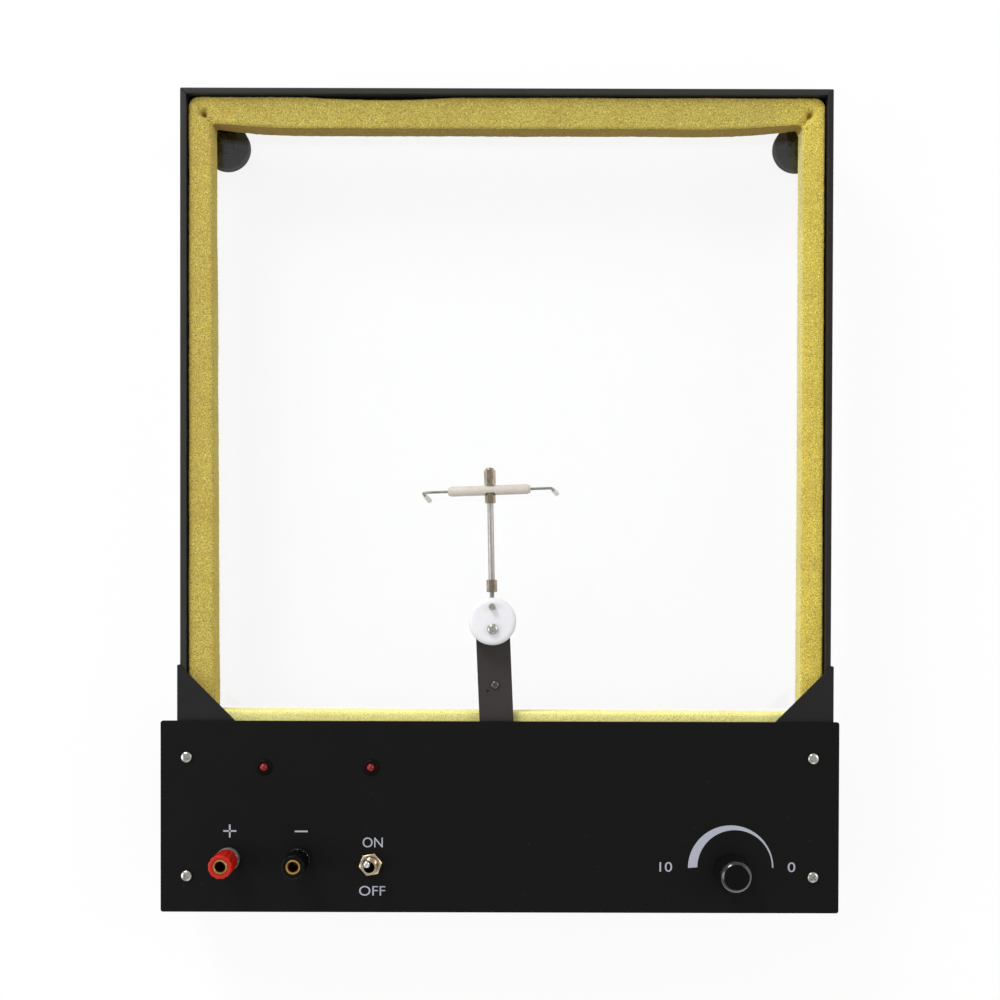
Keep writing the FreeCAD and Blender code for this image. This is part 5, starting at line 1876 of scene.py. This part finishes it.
@dataclass
class ToggleSwitch(SubAssembly):
    """A panel toggle switch with a threaded bush, a hexagon nut and a bat lever."""

    yaw: float = 10
    tilt: float = 15
    case: Triple = (8, 13, 12)
    bush_radius: float = 3.0
    bush_rise: float = 7.5
    bore: float = 2.3
    nut_flats: float = 8.4
    nut_height: float = 2.0
    ball: float = 2.2
    neck: float = 0.95
    tip: float = 1.6
    length: float = 10.0
    painted_shade_height: float = 3.4
    panel_thick: float = 1.5

    def lever(self) -> Form:
        """The lever, upright, with its ball on the origin.

        Returns:
            The lever, with its lower part painted dark as shade in the second skin.
        """
        ball = arc(self.ball, 0, range(-80, 61, 10))
        tip = arc(self.tip, self.length, range(-10, 90, 10))
        middle = [(self.neck, 2.2), (self.neck * 1.05, 4.0), (self.tip * 0.9, 8.0)]
        form = Form().lathe([(0, -self.ball), *ball, *middle, *tip, (0, self.length + self.tip)], 40)
        # The lever's ball and neck, down in the bore, take the dark colour: painted shade.
        for face in form.mesh.faces:
            face.material_index = int(face.calc_center_median().z < self.painted_shade_height)
        return form

    def build(self) -> None:
        """Makes the switch on its pivot."""
        pivot = self.model.pivot("switch_lever")
        top = self.model.box("panel_plate").high.z
        seat = spot(pivot.x, pivot.y, top, yaw=self.yaw)
        under = -self.panel_thick
        width, depth, height = self.case
        low, high = (-width / 2, -depth / 2, under - height), (width / 2, depth / 2, under)
        body = Form().block(low, high, 0.4, seat)
        body.skin = 1
        body.thread(self.bush_radius, under, self.bush_rise, 0.6, self.bore, 40, seat)
        # The bore's faces take the dark colour: painted shade.
        for face in body.mesh.faces:
            if face.material_index and (face.calc_center_median() - pivot).xy.length < self.bore:
                face.material_index = 2
        self.add("toggle_body_case", body, "base", ["toggle_body"])
        nut = Form().hexagon(self.nut_flats, self.nut_height, self.bush_radius + FIT, seat)
        self.add("toggle_nut_cut", nut, "base", ["toggle_nut"], crisp=25)
        lever = Form().join(self.lever(), spot(*pivot, yaw=self.yaw, roll=-self.tilt))
        self.add("toggle_lever_turned", lever, "lever", ["toggle_lever"])

    def dress(self) -> None:
        """Gives the switch its case and plating."""
        self.paint(
            ("toggle_body_case", "switch_case", Finishes.SWITCH_CASE, Finishes.SWITCH, Finishes.BORE_PAINTED_SHADE),
            ("toggle_nut_cut", "switch_nickel", Finishes.SWITCH),
            ("toggle_lever_turned", "lever_chrome", Finishes.CHROME, Finishes.BORE_PAINTED_SHADE),
        )


@dataclass
class SpeedDial(SubAssembly):
    """The potentiometer with its nut and shaft, and the fluted knob."""

    radius: float = 7.3
    top_radius: float = 6.0
    recess_radius: float = 6.2
    recess_height: float = 4.5
    shaft_radius: float = 3.0
    shaft_rise: float = 10.9
    flutes: int = 16
    flute_radius: float = 0.7
    flute_set: float = 0.2
    top_facing: float = 0.93
    can_radius: float = 8.2
    can_height: float = 8.0
    bush_radius: float = 3.5
    nut_flats: float = 10.0
    nut_height: float = 2.0

    def knob(self, box: Block) -> Form:
        """The knob: a fluted skirt, a plain rim and a slightly dished top.

        Args:
            box: the knob's box.

        Returns:
            The knob, with all but its top in the second skin.
        """
        height = box.size.z
        outline = [
            (self.recess_radius, 0), (self.radius - 0.3, 0), (self.radius, 0.4),
            (self.top_radius + 0.35, height - 1.2), (self.top_radius - 0.9, height),
            (self.top_radius - 1.8, height - 0.15), (0, height - 0.35),
        ]
        bore = self.shaft_radius + FIT
        rise, recess = self.shaft_rise, self.recess_height
        inside = [(0, rise), (bore, rise), (bore, recess), (self.recess_radius, recess)]
        limit = flute_cut(self.flutes, self.radius + self.flute_radius * self.flute_set, self.flute_radius)
        form, sides = Form(), self.flutes * 12
        rings = [form.ring(r, z, sides, limit) for r, z in softened(outline, 0.5)]
        rings += [form.ring(r, z, sides) for r, z in inside]
        form.stack([*rings, rings[0]])
        form.settle(0, box.seat)
        for face in form.mesh.faces:
            face.material_index = int(face.normal.z < self.top_facing)
        return form

    def build(self) -> None:
        """Makes the dial."""
        knob = self.model.box("knob")
        self.add("knob_moulded", self.knob(knob), "dial", ["knob"], crisp=55)
        can, shaft, nut = (self.model.box(f"pot_{part}") for part in ("body", "shaft", "nut"))
        neck, bore = self.bush_radius - 0.6, self.shaft_radius + FIT
        outline = [
            *barrel(self.can_radius, 0, self.can_height)[:3],
            *barrel(neck, self.can_height, can.size.z - 0.5, bore)[1:], (bore, 4.0), (0, 4.0),
        ]
        body = Form().lathe(softened(outline, 0.4), 64, where=can.seat)
        body.thread(self.bush_radius, self.can_height, can.size.z, 0.75, bore, 48, can.seat)
        self.add("pot_body_turned", body, "base", ["pot_body"])
        outline = softened(barrel(self.shaft_radius, shaft.low.z, shaft.high.z), 0.3)
        self.add("pot_shaft_turned", Form().lathe(outline, 40, where=shaft.axis), "dial", ["pot_shaft"])
        hexagon = Form().hexagon(self.nut_flats, self.nut_height, self.bush_radius, nut.seat)
        self.add("pot_nut_cut", hexagon, "base", ["pot_nut"], crisp=25)

    def dress(self) -> None:
        """Gives the dial its plastic and metals."""
        self.paint(
            ("knob_moulded", "knob_black", Finishes.KNOB, Finishes.FLUTES),
            ("pot_body_turned", "pot_metal", Finishes.POT),
            ("pot_shaft_turned", "pot_metal", Finishes.POT),
            ("pot_nut_cut", "screw_steel", Finishes.NICKEL),
        )


@dataclass
class ControlBoard(SubAssembly):
    """The speed-control board under the potentiometer."""

    board_edge: float = 0.25

    def build(self) -> None:
        """Rounds the board and its components."""
        self.add_folded("control_board", "base", self.board_edge)

    def dress(self) -> None:
        """Gives the board its laminate."""
        self.paint(("control_board_shell", "board_green", Finishes.BOARD))


@dataclass
class RockingArm(SubAssembly):
    """The arm on its rubber-bushed pivot, with its motor, clip and eccentric weight."""

    strip_edge: float = 0.25
    weight_edge: float = 0.2
    bush_radius: float = 2.5
    bush_flange: float = 0.7
    pin_radius: float = 1.5
    motor_radius: float = 8.0
    boss: float = 2.6
    screw_head: float = 1.7
    screw_rise: float = 1.1
    screw_radius: float = 1.0
    nut_flats: float = 5.0
    nut_height: float = 1.8

    def bushes(self) -> Form:
        """The two flanged rubber bushes, across the arm.

        Returns:
            The bushes as one form.
        """
        form = Form()
        for box in self.model.solids("arm_bushes"):
            half, outer = box.size.x / 2, box.size.z / 2
            bore, waist = self.pin_radius + FIT, half - self.bush_flange
            ends = (barrel(outer, -half, -waist, bore)[:3], barrel(outer, waist, half, bore)[1:])
            outline = [*ends[0], *barrel(self.bush_radius, -waist, waist)[1:3], *ends[1]]
            form.lathe(softened(outline, 0.2), 40, where=spot(*box.middle, pitch=90))
        return form

    def motor(self) -> Form:
        """The motor's can with its crimped ends and bearing bosses.

        Returns:
            The motor as a form.
        """
        box = self.model.box("motor_can")
        half, radius = box.size.x / 2, self.motor_radius
        body = half - 1.6
        outline = [
            (0, -half), (self.boss, -half), (self.boss, -body), (radius - 1.2, -body),
            (radius, -body + 0.6), (radius, -body + 2.0), (radius - 0.25, -body + 2.2),
            (radius - 0.25, -body + 2.6), (radius, -body + 2.8), (radius, body - 0.8),
            (radius - 0.8, body), (self.boss, body), (self.boss, half), (0, half),
        ]
        return Form().lathe(softened(outline, 0.3), 72, where=spot(*box.middle, pitch=90))

    def fasteners(self) -> Form:
        """The three screws and nuts along the arm.

        Returns:
            The fasteners, with the front screw's head and shank in the first skin.
        """
        form = Form()
        form.skin = 1
        solids = sorted(self.model.solids("arm_fasteners"), key=lambda box: box.size.z <= 4)
        front = max(box.middle.y for box in solids if box.size.z > 4)
        for box in solids:
            if box.size.z <= 4:
                form.hexagon(self.nut_flats, self.nut_height, self.screw_radius, box.seat)
                continue
            length = box.size.z - self.screw_rise
            screw = pan_head(self.screw_head, self.screw_rise, self.screw_radius, length)
            for face in screw.mesh.faces:
                face.material_index = int(abs(box.middle.y - front) >= 1)
            form.join(screw, spot(*box.middle.xy, box.high.z - self.screw_rise, yaw=box.middle.y % 90))
        return form

    def build(self) -> None:
        """Makes the arm."""
        self.add_folded("arm_bracket", "base", self.strip_edge)
        for node in ("arm_leaf", "arm_strip", "motor_clip"):
            self.add_folded(node, "arm", self.strip_edge)
        self.add_folded("eccentric_weight", "weight", self.weight_edge)
        self.add("arm_bushes_moulded", self.bushes(), "base", ["arm_bushes"])
        pin = self.model.box("pivot_pin")
        outline = barrel(self.pin_radius, -pin.size.x / 2, pin.size.x / 2)
        form = Form().lathe(softened(outline, 0.3), 36, where=spot(*pin.middle, pitch=90))
        self.add("pivot_pin_turned", form, "base", ["pivot_pin"])
        self.add("motor_can_drawn", self.motor(), "arm", ["motor_can"])
        self.add("arm_fasteners_turned", self.fasteners(), "arm", ["arm_fasteners"], crisp=30)

    def dress(self) -> None:
        """Paints the arm and gives its parts their metals."""
        self.paint(
            ("arm_bracket_shell", "bracket_steel", Finishes.STEEL),
            ("arm_leaf_shell", "arm_paint", Finishes.ARM),
            ("arm_strip_shell", "arm_paint", Finishes.ARM),
            ("motor_clip_shell", "bracket_steel", Finishes.STEEL),
            ("eccentric_weight_shell", "weight_brass", Finishes.WEIGHT),
            ("arm_bushes_moulded", "bush_rubber", Finishes.BUSH),
            ("pivot_pin_turned", "pin_steel", Finishes.PIN),
            ("motor_can_drawn", "motor_steel", Finishes.MOTOR),
            ("arm_fasteners_turned", "screw_steel", Finishes.BLACKENED, Finishes.SCREW),
        )


@dataclass
class Vibrator(SubAssembly):
    """The nylon disc with its screw, nut and set screw."""

    radius: float = 9.8
    edge: float = 2.2
    crown: float = 0.35
    screw_radius: float = 1.5
    screw_head: float = 2.2
    screw_rise: float = 1.6
    nut_flats: float = 5.5
    nut_height: float = 2.2
    set_radius: float = 1.3
    rod_radius: float = 1.05
    rod_yaw: float = 1.2

    def disc(self) -> Form:
        """The disc with a rounded rim, its two upright holes and the bore for the rod.

        Returns:
            The disc as a form.
        """
        box = self.model.box("vibrator_disc")
        pivot = self.model.pivot("disc_turn")
        height = box.size.z
        shoulder = (self.radius * 0.5, height - self.crown * 0.3)
        outline = [(0, 0), (self.radius, 0), (self.radius, height - self.crown), shoulder, (0, height)]
        form = Form().lathe(softened(outline, self.edge, 6), 96, where=box.seat)
        grub = self.model.box("set_screw").middle
        along = spot(*pivot.xy, box.middle.z, yaw=self.rod_yaw, roll=-90)
        for radius, low, high, sides, where in (
            (self.screw_radius + FIT, -1, height + 1, 32, spot(*pivot.xy, box.low.z)),
            (self.set_radius + 0.08, 4, height + 1, 28, spot(*grub.xy, box.low.z)),
            (self.rod_radius, 3, 20, 24, along),
        ):
            form.carve(Form().lathe(barrel(radius, low, high), sides, where=where))
        return form

    def set_screw(self) -> Form:
        """The set screw with a hexagon socket in its top.

        Returns:
            The set screw as a form.
        """
        box = self.model.box("set_screw")
        height = box.size.z
        outline = [
            (0, 0.2), (self.set_radius - 0.25, 0.2), (self.set_radius - 0.1, 0.4),
            (self.set_radius - 0.1, height - 0.3), (self.set_radius - 0.35, height), (0, height),
        ]
        form = Form().lathe(outline, 36).carve(Form().lathe(barrel(0.62, height - 1.2, height + 1), 6))
        form.thread(self.set_radius, 0, height - 0.35, 0.5, self.set_radius - 0.5, 28)
        return Form().join(form, box.seat)

    def build(self) -> None:
        """Makes the disc and what holds it."""
        self.add("vibrator_disc_turned", self.disc(), "disc", ["vibrator_disc"], crisp=45, flat=True)
        self.add("set_screw_cut", self.set_screw(), "disc", ["set_screw"])
        screw_box, nut_box = sorted(self.model.solids("disc_fasteners"), key=lambda box: -box.size.z)
        length = screw_box.size.z - self.screw_rise
        screw = pan_head(self.screw_head, self.screw_rise, self.screw_radius, length)
        form = Form().join(screw, spot(*screw_box.middle.xy, screw_box.high.z - self.screw_rise, yaw=28))
        form.hexagon(self.nut_flats, self.nut_height, self.screw_radius + FIT, nut_box.seat)
        self.add("disc_fasteners_turned", form, "arm", ["disc_fasteners"], crisp=30)

    def dress(self) -> None:
        """Gives the disc its nylon and the screws their metal."""
        self.paint(
            ("vibrator_disc_turned", "disc_nylon", Finishes.NYLON),
            ("set_screw_cut", "screw_steel", Finishes.SCREW),
            ("disc_fasteners_turned", "screw_steel", Finishes.SCREW),
        )


@dataclass
class Dippers(SubAssembly):
    """The rod, its nuts, the cross tube and the two bent dipper wires."""

    rod_yaw: float = 1.2
    tube_yaw: float = 2.2
    rod_radius: float = 1.3
    stud_radius: float = 1.0
    stud_start: float = 6.0
    rod_start: float = 16.0
    coupling: Pair = (15.1, 5.1)
    clamp_length: float = 4.2
    nut_flats: float = 3.8
    cap_flats: float = 4.1
    cap_length: float = 7.2
    tube_radius: float = 2.05
    tube_left: float = 17.2
    tube_right: float = 16.6
    tube_reach: float = 56.9
    lip_step: float = 0.4
    lip_length: float = 0.9
    spot_depth: float = 1.0
    wire_radius: float = 0.55
    wire_insert: float = 8.2
    bend: float = 1.4
    drop: float = 10.5
    left_wire: Triple = (27.8, -2.4, 2.9)
    right_wire: Triple = (25.2, 2.6, 1.7)
    sleeve_radius: float = 1.0
    sleeve_length: float = 7.5

    def along(self, reach: float = 0) -> Matrix:
        """A place on the rod's line, looking along it, at a distance from the disc's screw.

        Args:
            reach: the distance from the disc's screw.

        Returns:
            The place.
        """
        pivot = self.model.pivot("disc_turn")
        height = self.model.box("vibrator_disc").middle.z
        lean = math.radians(self.rod_yaw)
        x, y = pivot.x - reach * math.sin(lean), pivot.y + reach * math.cos(lean)
        return spot(x, y, height, yaw=self.rod_yaw, roll=-90)

    @property
    def clamp_start(self) -> float:
        """How far along the rod the nut behind the cross tube starts."""
        return self.tube_reach - self.tube_radius + self.spot_depth - 0.1 - self.clamp_length

    def rod(self) -> Form:
        """The rod with a threaded end and a thinner far end.

        Returns:
            The rod as a form.
        """
        shoulder = self.clamp_start + 0.6
        end = self.tube_reach + self.tube_radius + 0.1 + self.cap_length - 1.6
        start = self.rod_start
        form = Form().thread(self.stud_radius, self.stud_start, start + 0.2, 0.4, where=self.along())
        thick, thin = (self.rod_radius, start, shoulder), (self.stud_radius, shoulder, end)
        outline = barrel(*thick)[:3] + barrel(*thin)[1:]
        return form.lathe(softened(outline, 0.15), 32, where=self.along())

    def cap_nut(self) -> Form:
        """The cap nut: a hexagon, a turned neck and a low dome.

        Returns:
            The cap nut as a form.
        """
        where = self.along(self.tube_reach + self.tube_radius + 0.1)
        body = self.cap_length - 1.0
        form = Form().hexagon(self.cap_flats, body, self.stud_radius + FIT, where)
        radius = self.cap_flats / 2 - 0.15
        dome = [
            *barrel(radius, body - 0.6, body + 0.1)[:3], (radius * 0.92, body + 0.5),
            (radius * 0.7, body + 0.85), (0, body + 1.0),
        ]
        return form.lathe(softened(dome, 0.3), 40, where=where)

    def tube_frame(self) -> Matrix:
        """The place of the cross tube's middle, looking along the tube."""
        return spot(*self.along(self.tube_reach).translation, yaw=self.tube_yaw)

    def tube(self) -> Form:
        """The cross tube with rounded ends, wire bores and its hole for the rod.

        Returns:
            The tube as a form.
        """
        radius, bore = self.tube_radius, self.wire_radius + 0.12
        left, right, depth = -self.tube_left, self.tube_right, 4.0
        lip, low_lip, high_lip = radius - self.lip_step, left + self.lip_length, right - self.lip_length
        outline = [
            (0, left + depth), (bore, left + depth), *barrel(lip, left, low_lip, bore)[:3],
            *barrel(radius, low_lip, high_lip)[1:3], *barrel(lip, high_lip, right, bore)[1:],
            (bore, right - depth), (0, right - depth),
        ]
        form = Form().lathe(softened(outline, 0.3), 48, where=spot(pitch=90))
        seat = self.nut_flats / 2 / math.cos(math.pi / 6) + 0.15
        face = -radius + self.spot_depth
        hole = self.stud_radius + 0.06
        for size, low, high, sides in ((hole, -5, 5, 24), (seat, -radius - 1, face, 40)):
            form.carve(Form().lathe(barrel(size, low, high), sides, where=spot(roll=-90)))
        return Form().join(form, self.tube_frame())

    def dipper(self, side: int, shape: Triple, end: float) -> Form:
        """One dipper wire with its sleeve.

        Args:
            side: -1 for the left one, 1 for the right one.
            shape: how far out it bends, and how far its tip leans out and forward.
            end: how far the tube's end is from the rod.

        Returns:
            The dipper as a form: the wire in the first skin, its sleeve in the second.
        """
        reach, lean, forward = shape
        drop = math.hypot(self.drop, forward)
        tail, knee = Vector((side * (end - self.wire_insert), 0, 0)), Vector((side * reach, 0, 0))
        tip = knee + Vector((side * lean, 0, -drop))
        into, out = (knee - tail).normalized(), (tip - knee).normalized()
        trim = self.bend * math.tan(into.angle(out) / 2) * 1.15
        start, stop = knee - into * trim, knee + out * trim
        path = [tail.lerp(start, step / 6) for step in range(6)]
        for step in range(13):
            share = step / 12
            path.append(start.lerp(knee, share).lerp(knee.lerp(stop, share), share))
        path += [stop.lerp(tip, step / 5) for step in range(1, 6)]
        form = swept(path[:-1] + [tip - out * 0.4], self.wire_radius)
        form.skin = 1
        radius, bore = self.sleeve_radius, self.wire_radius + 0.02
        outline = [
            (bore, 0), (radius * 0.94, 0), (radius, 0.15), (radius, self.sleeve_length - 0.35),
            (radius * 0.8, self.sleeve_length - 0.05), (bore, self.sleeve_length),
        ]
        turn = Vector((0, 0, 1)).rotation_difference(out).to_matrix().to_4x4()
        form.lathe(outline, 28, where=Matrix.Translation(tip - out * self.sleeve_length) @ turn)
        tilt = Matrix.Rotation(-math.atan2(forward, self.drop), 4, "X")
        return Form().join(form, self.tube_frame() @ tilt)

    def build(self) -> None:
        """Makes the rod and everything on it."""
        self.add("dipper_rod_turned", self.rod(), "rod", ["dipper_rod"])
        start, length = self.coupling
        bore = self.rod_radius + FIT
        nuts = Form().hexagon(self.nut_flats, length, bore, self.along(start))
        nuts.hexagon(self.nut_flats, self.clamp_length, bore, self.along(self.clamp_start))
        self.add("rod_nuts_cut", nuts, "rod", ["rod_nuts"], crisp=25)
        self.add("cap_nut_cut", self.cap_nut(), "rod", ["cap_nut"], crisp=25)
        self.add("cross_tube_moulded", self.tube(), "bar", ["cross_tube"], crisp=45)
        for name, side, shape, end in (
            ("left", -1, self.left_wire, self.tube_left),
            ("right", 1, self.right_wire, self.tube_right),
        ):
            bent = self.dipper(side, shape, end)
            self.add(f"dipper_{name}_bent", bent, f"wire_{name}", [f"dipper_{name}"])

    def dress(self) -> None:
        """Gives the rod, nuts, tube and wires their finishes."""
        self.paint(
            ("dipper_rod_turned", "rod_nickel", Finishes.ROD),
            ("rod_nuts_cut", "rod_nickel", Finishes.HEX),
            ("cap_nut_cut", "cap_nut_chrome", Finishes.CAP_NUT),
            ("cross_tube_moulded", "tube_white", Finishes.TUBE),
            ("dipper_left_bent", "dipper_wire", Finishes.WIRE, Finishes.SLEEVE),
            ("dipper_right_bent", "dipper_wire", Finishes.WIRE, Finishes.SLEEVE),
        )


# studio


@dataclass(frozen=True)
class SoftLamp:
    """A large soft lamp: where it stands, its size and its power."""

    name: str
    place: Triple
    size: float
    power: float


@dataclass
class Studio:
    """A plain pale floor, soft lamps and the camera."""

    camera_place: Triple = (1.1, -35.2, 642.0)
    camera_turn: Triple = (-0.7, 0.0, 0.15)
    lens: float = 52.44
    shift: Pair = (-0.003, 0.104)
    floor_half: float = 6.0
    floor_shadow: float = 0.1
    floor_tones: tuple[Tone, Tone] = ((246, 246, 246), (250, 250, 250))
    world_level: float = 0.55
    lamp_aim: Triple = (0, 0, 0.03)
    lamps: tuple[SoftLamp, ...] = (
        SoftLamp("lamp_left", (-1.5, -0.2, 0.95), 1.3, 10.0),
        SoftLamp("lamp_right", (1.5, 0.4, 0.95), 1.3, 7.5),
        SoftLamp("lamp_rear", (-0.8, 1.5, 1.05), 0.8, 21.5),
        SoftLamp("lamp_front", (0.4, -1.7, 1.0), 1.3, 3.0),
    )

    def floor(self) -> None:
        """The floor, white to the camera and in glass and metal, with the shadow kept."""
        mesh = bpy.data.meshes.new("floor")
        half = self.floor_half
        corners = [(-half, -half, 0), (half, -half, 0), (half, half, 0), (-half, half, 0)]
        mesh.from_pydata(corners, [], [(0, 1, 2, 3)])
        plane = present("floor", mesh)
        graph = Graph("floor_paper")
        graph.shade(Roughness=1.0, Specular_IOR_Level=0.0)
        graph.colour(graph.mix(graph.noise(40.0, 3), *self.floor_tones))
        glow = graph.plain("ShaderNodeEmission", Strength=1.0, Color=(1, 1, 1, 1))
        path = graph.add("ShaderNodeLightPath")
        seen = path.outputs["Is Camera Ray"]
        for ray in ("Is Transmission Ray", "Is Glossy Ray"):
            either = graph.add("ShaderNodeMath", operation="MAXIMUM")
            graph.join(seen, either.inputs[0])
            graph.join(path.outputs[ray], either.inputs[1])
            seen = either.outputs[0]
        share = graph.add("ShaderNodeMath", operation="MULTIPLY")
        graph.join(seen, share.inputs[0])
        share.inputs[1].default_value = 1 - self.floor_shadow
        graph.cover(share.outputs[0], glow.outputs[0])
        mesh.materials.append(graph.material)

    def light(self) -> None:
        """The world's even light, which the camera sees as white, and the soft lamps."""
        world = bpy.data.worlds.new("studio")
        world.use_nodes = True
        tree = world.node_tree
        sky, backdrop = tree.nodes["Background"], tree.nodes.new("ShaderNodeBackground")
        for light, level in ((sky, self.world_level), (backdrop, 1.0)):
            light.inputs["Color"].default_value = (1, 1, 1, 1)
            light.inputs["Strength"].default_value = level
        path, either = tree.nodes.new("ShaderNodeLightPath"), tree.nodes.new("ShaderNodeMixShader")
        tree.links.new(path.outputs["Is Camera Ray"], either.inputs[0])
        tree.links.new(sky.outputs[0], either.inputs[1])
        tree.links.new(backdrop.outputs[0], either.inputs[2])
        tree.links.new(either.outputs[0], tree.nodes["World Output"].inputs["Surface"])
        bpy.context.scene.world = world
        for lamp in self.lamps:
            data = bpy.data.lights.new(lamp.name, "AREA")
            data.shape, data.size, data.energy = "DISK", lamp.size, lamp.power
            holder = present(lamp.name, data)
            holder.location = lamp.place
            aim = Vector(self.lamp_aim) - Vector(lamp.place)
            holder.rotation_euler = aim.to_track_quat("-Z", "Y").to_euler()

    def camera(self) -> None:
        """The camera, which looks almost straight down and is shifted to frame the whole apparatus."""
        data = bpy.data.cameras.new("camera")
        data.lens, data.sensor_width, data.sensor_fit = self.lens, 36.0, "HORIZONTAL"
        data.shift_x, data.shift_y = self.shift
        data.clip_start, data.clip_end = 0.01, 50
        holder = present("camera", data)
        holder.location = Vector(self.camera_place) * MM
        holder.rotation_euler = [math.radians(angle) for angle in self.camera_turn]
        bpy.context.scene.camera = holder

    def set_up(self) -> None:
        """Sets up the whole studio."""
        bpy.context.scene.view_settings.view_transform = "Standard"
        self.floor()
        self.light()
        self.camera()


def main() -> None:
    """Builds every sub-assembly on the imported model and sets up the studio."""
    logging.basicConfig(level=logging.INFO, format="%(message)s")
    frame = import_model()
    Studio().set_up()
    model = Model(frame)
    for kind in (
        TankFrame, FoamBeaches, LevellingFeet, ControlBox, Lamps, BindingPosts, ToggleSwitch, SpeedDial,
        ControlBoard, RockingArm, Vibrator, Dippers,
    ):
        kind(model).complete()
    LOG.info("the studio and every sub-assembly are ready")


if __name__ == "__main__":
    main()
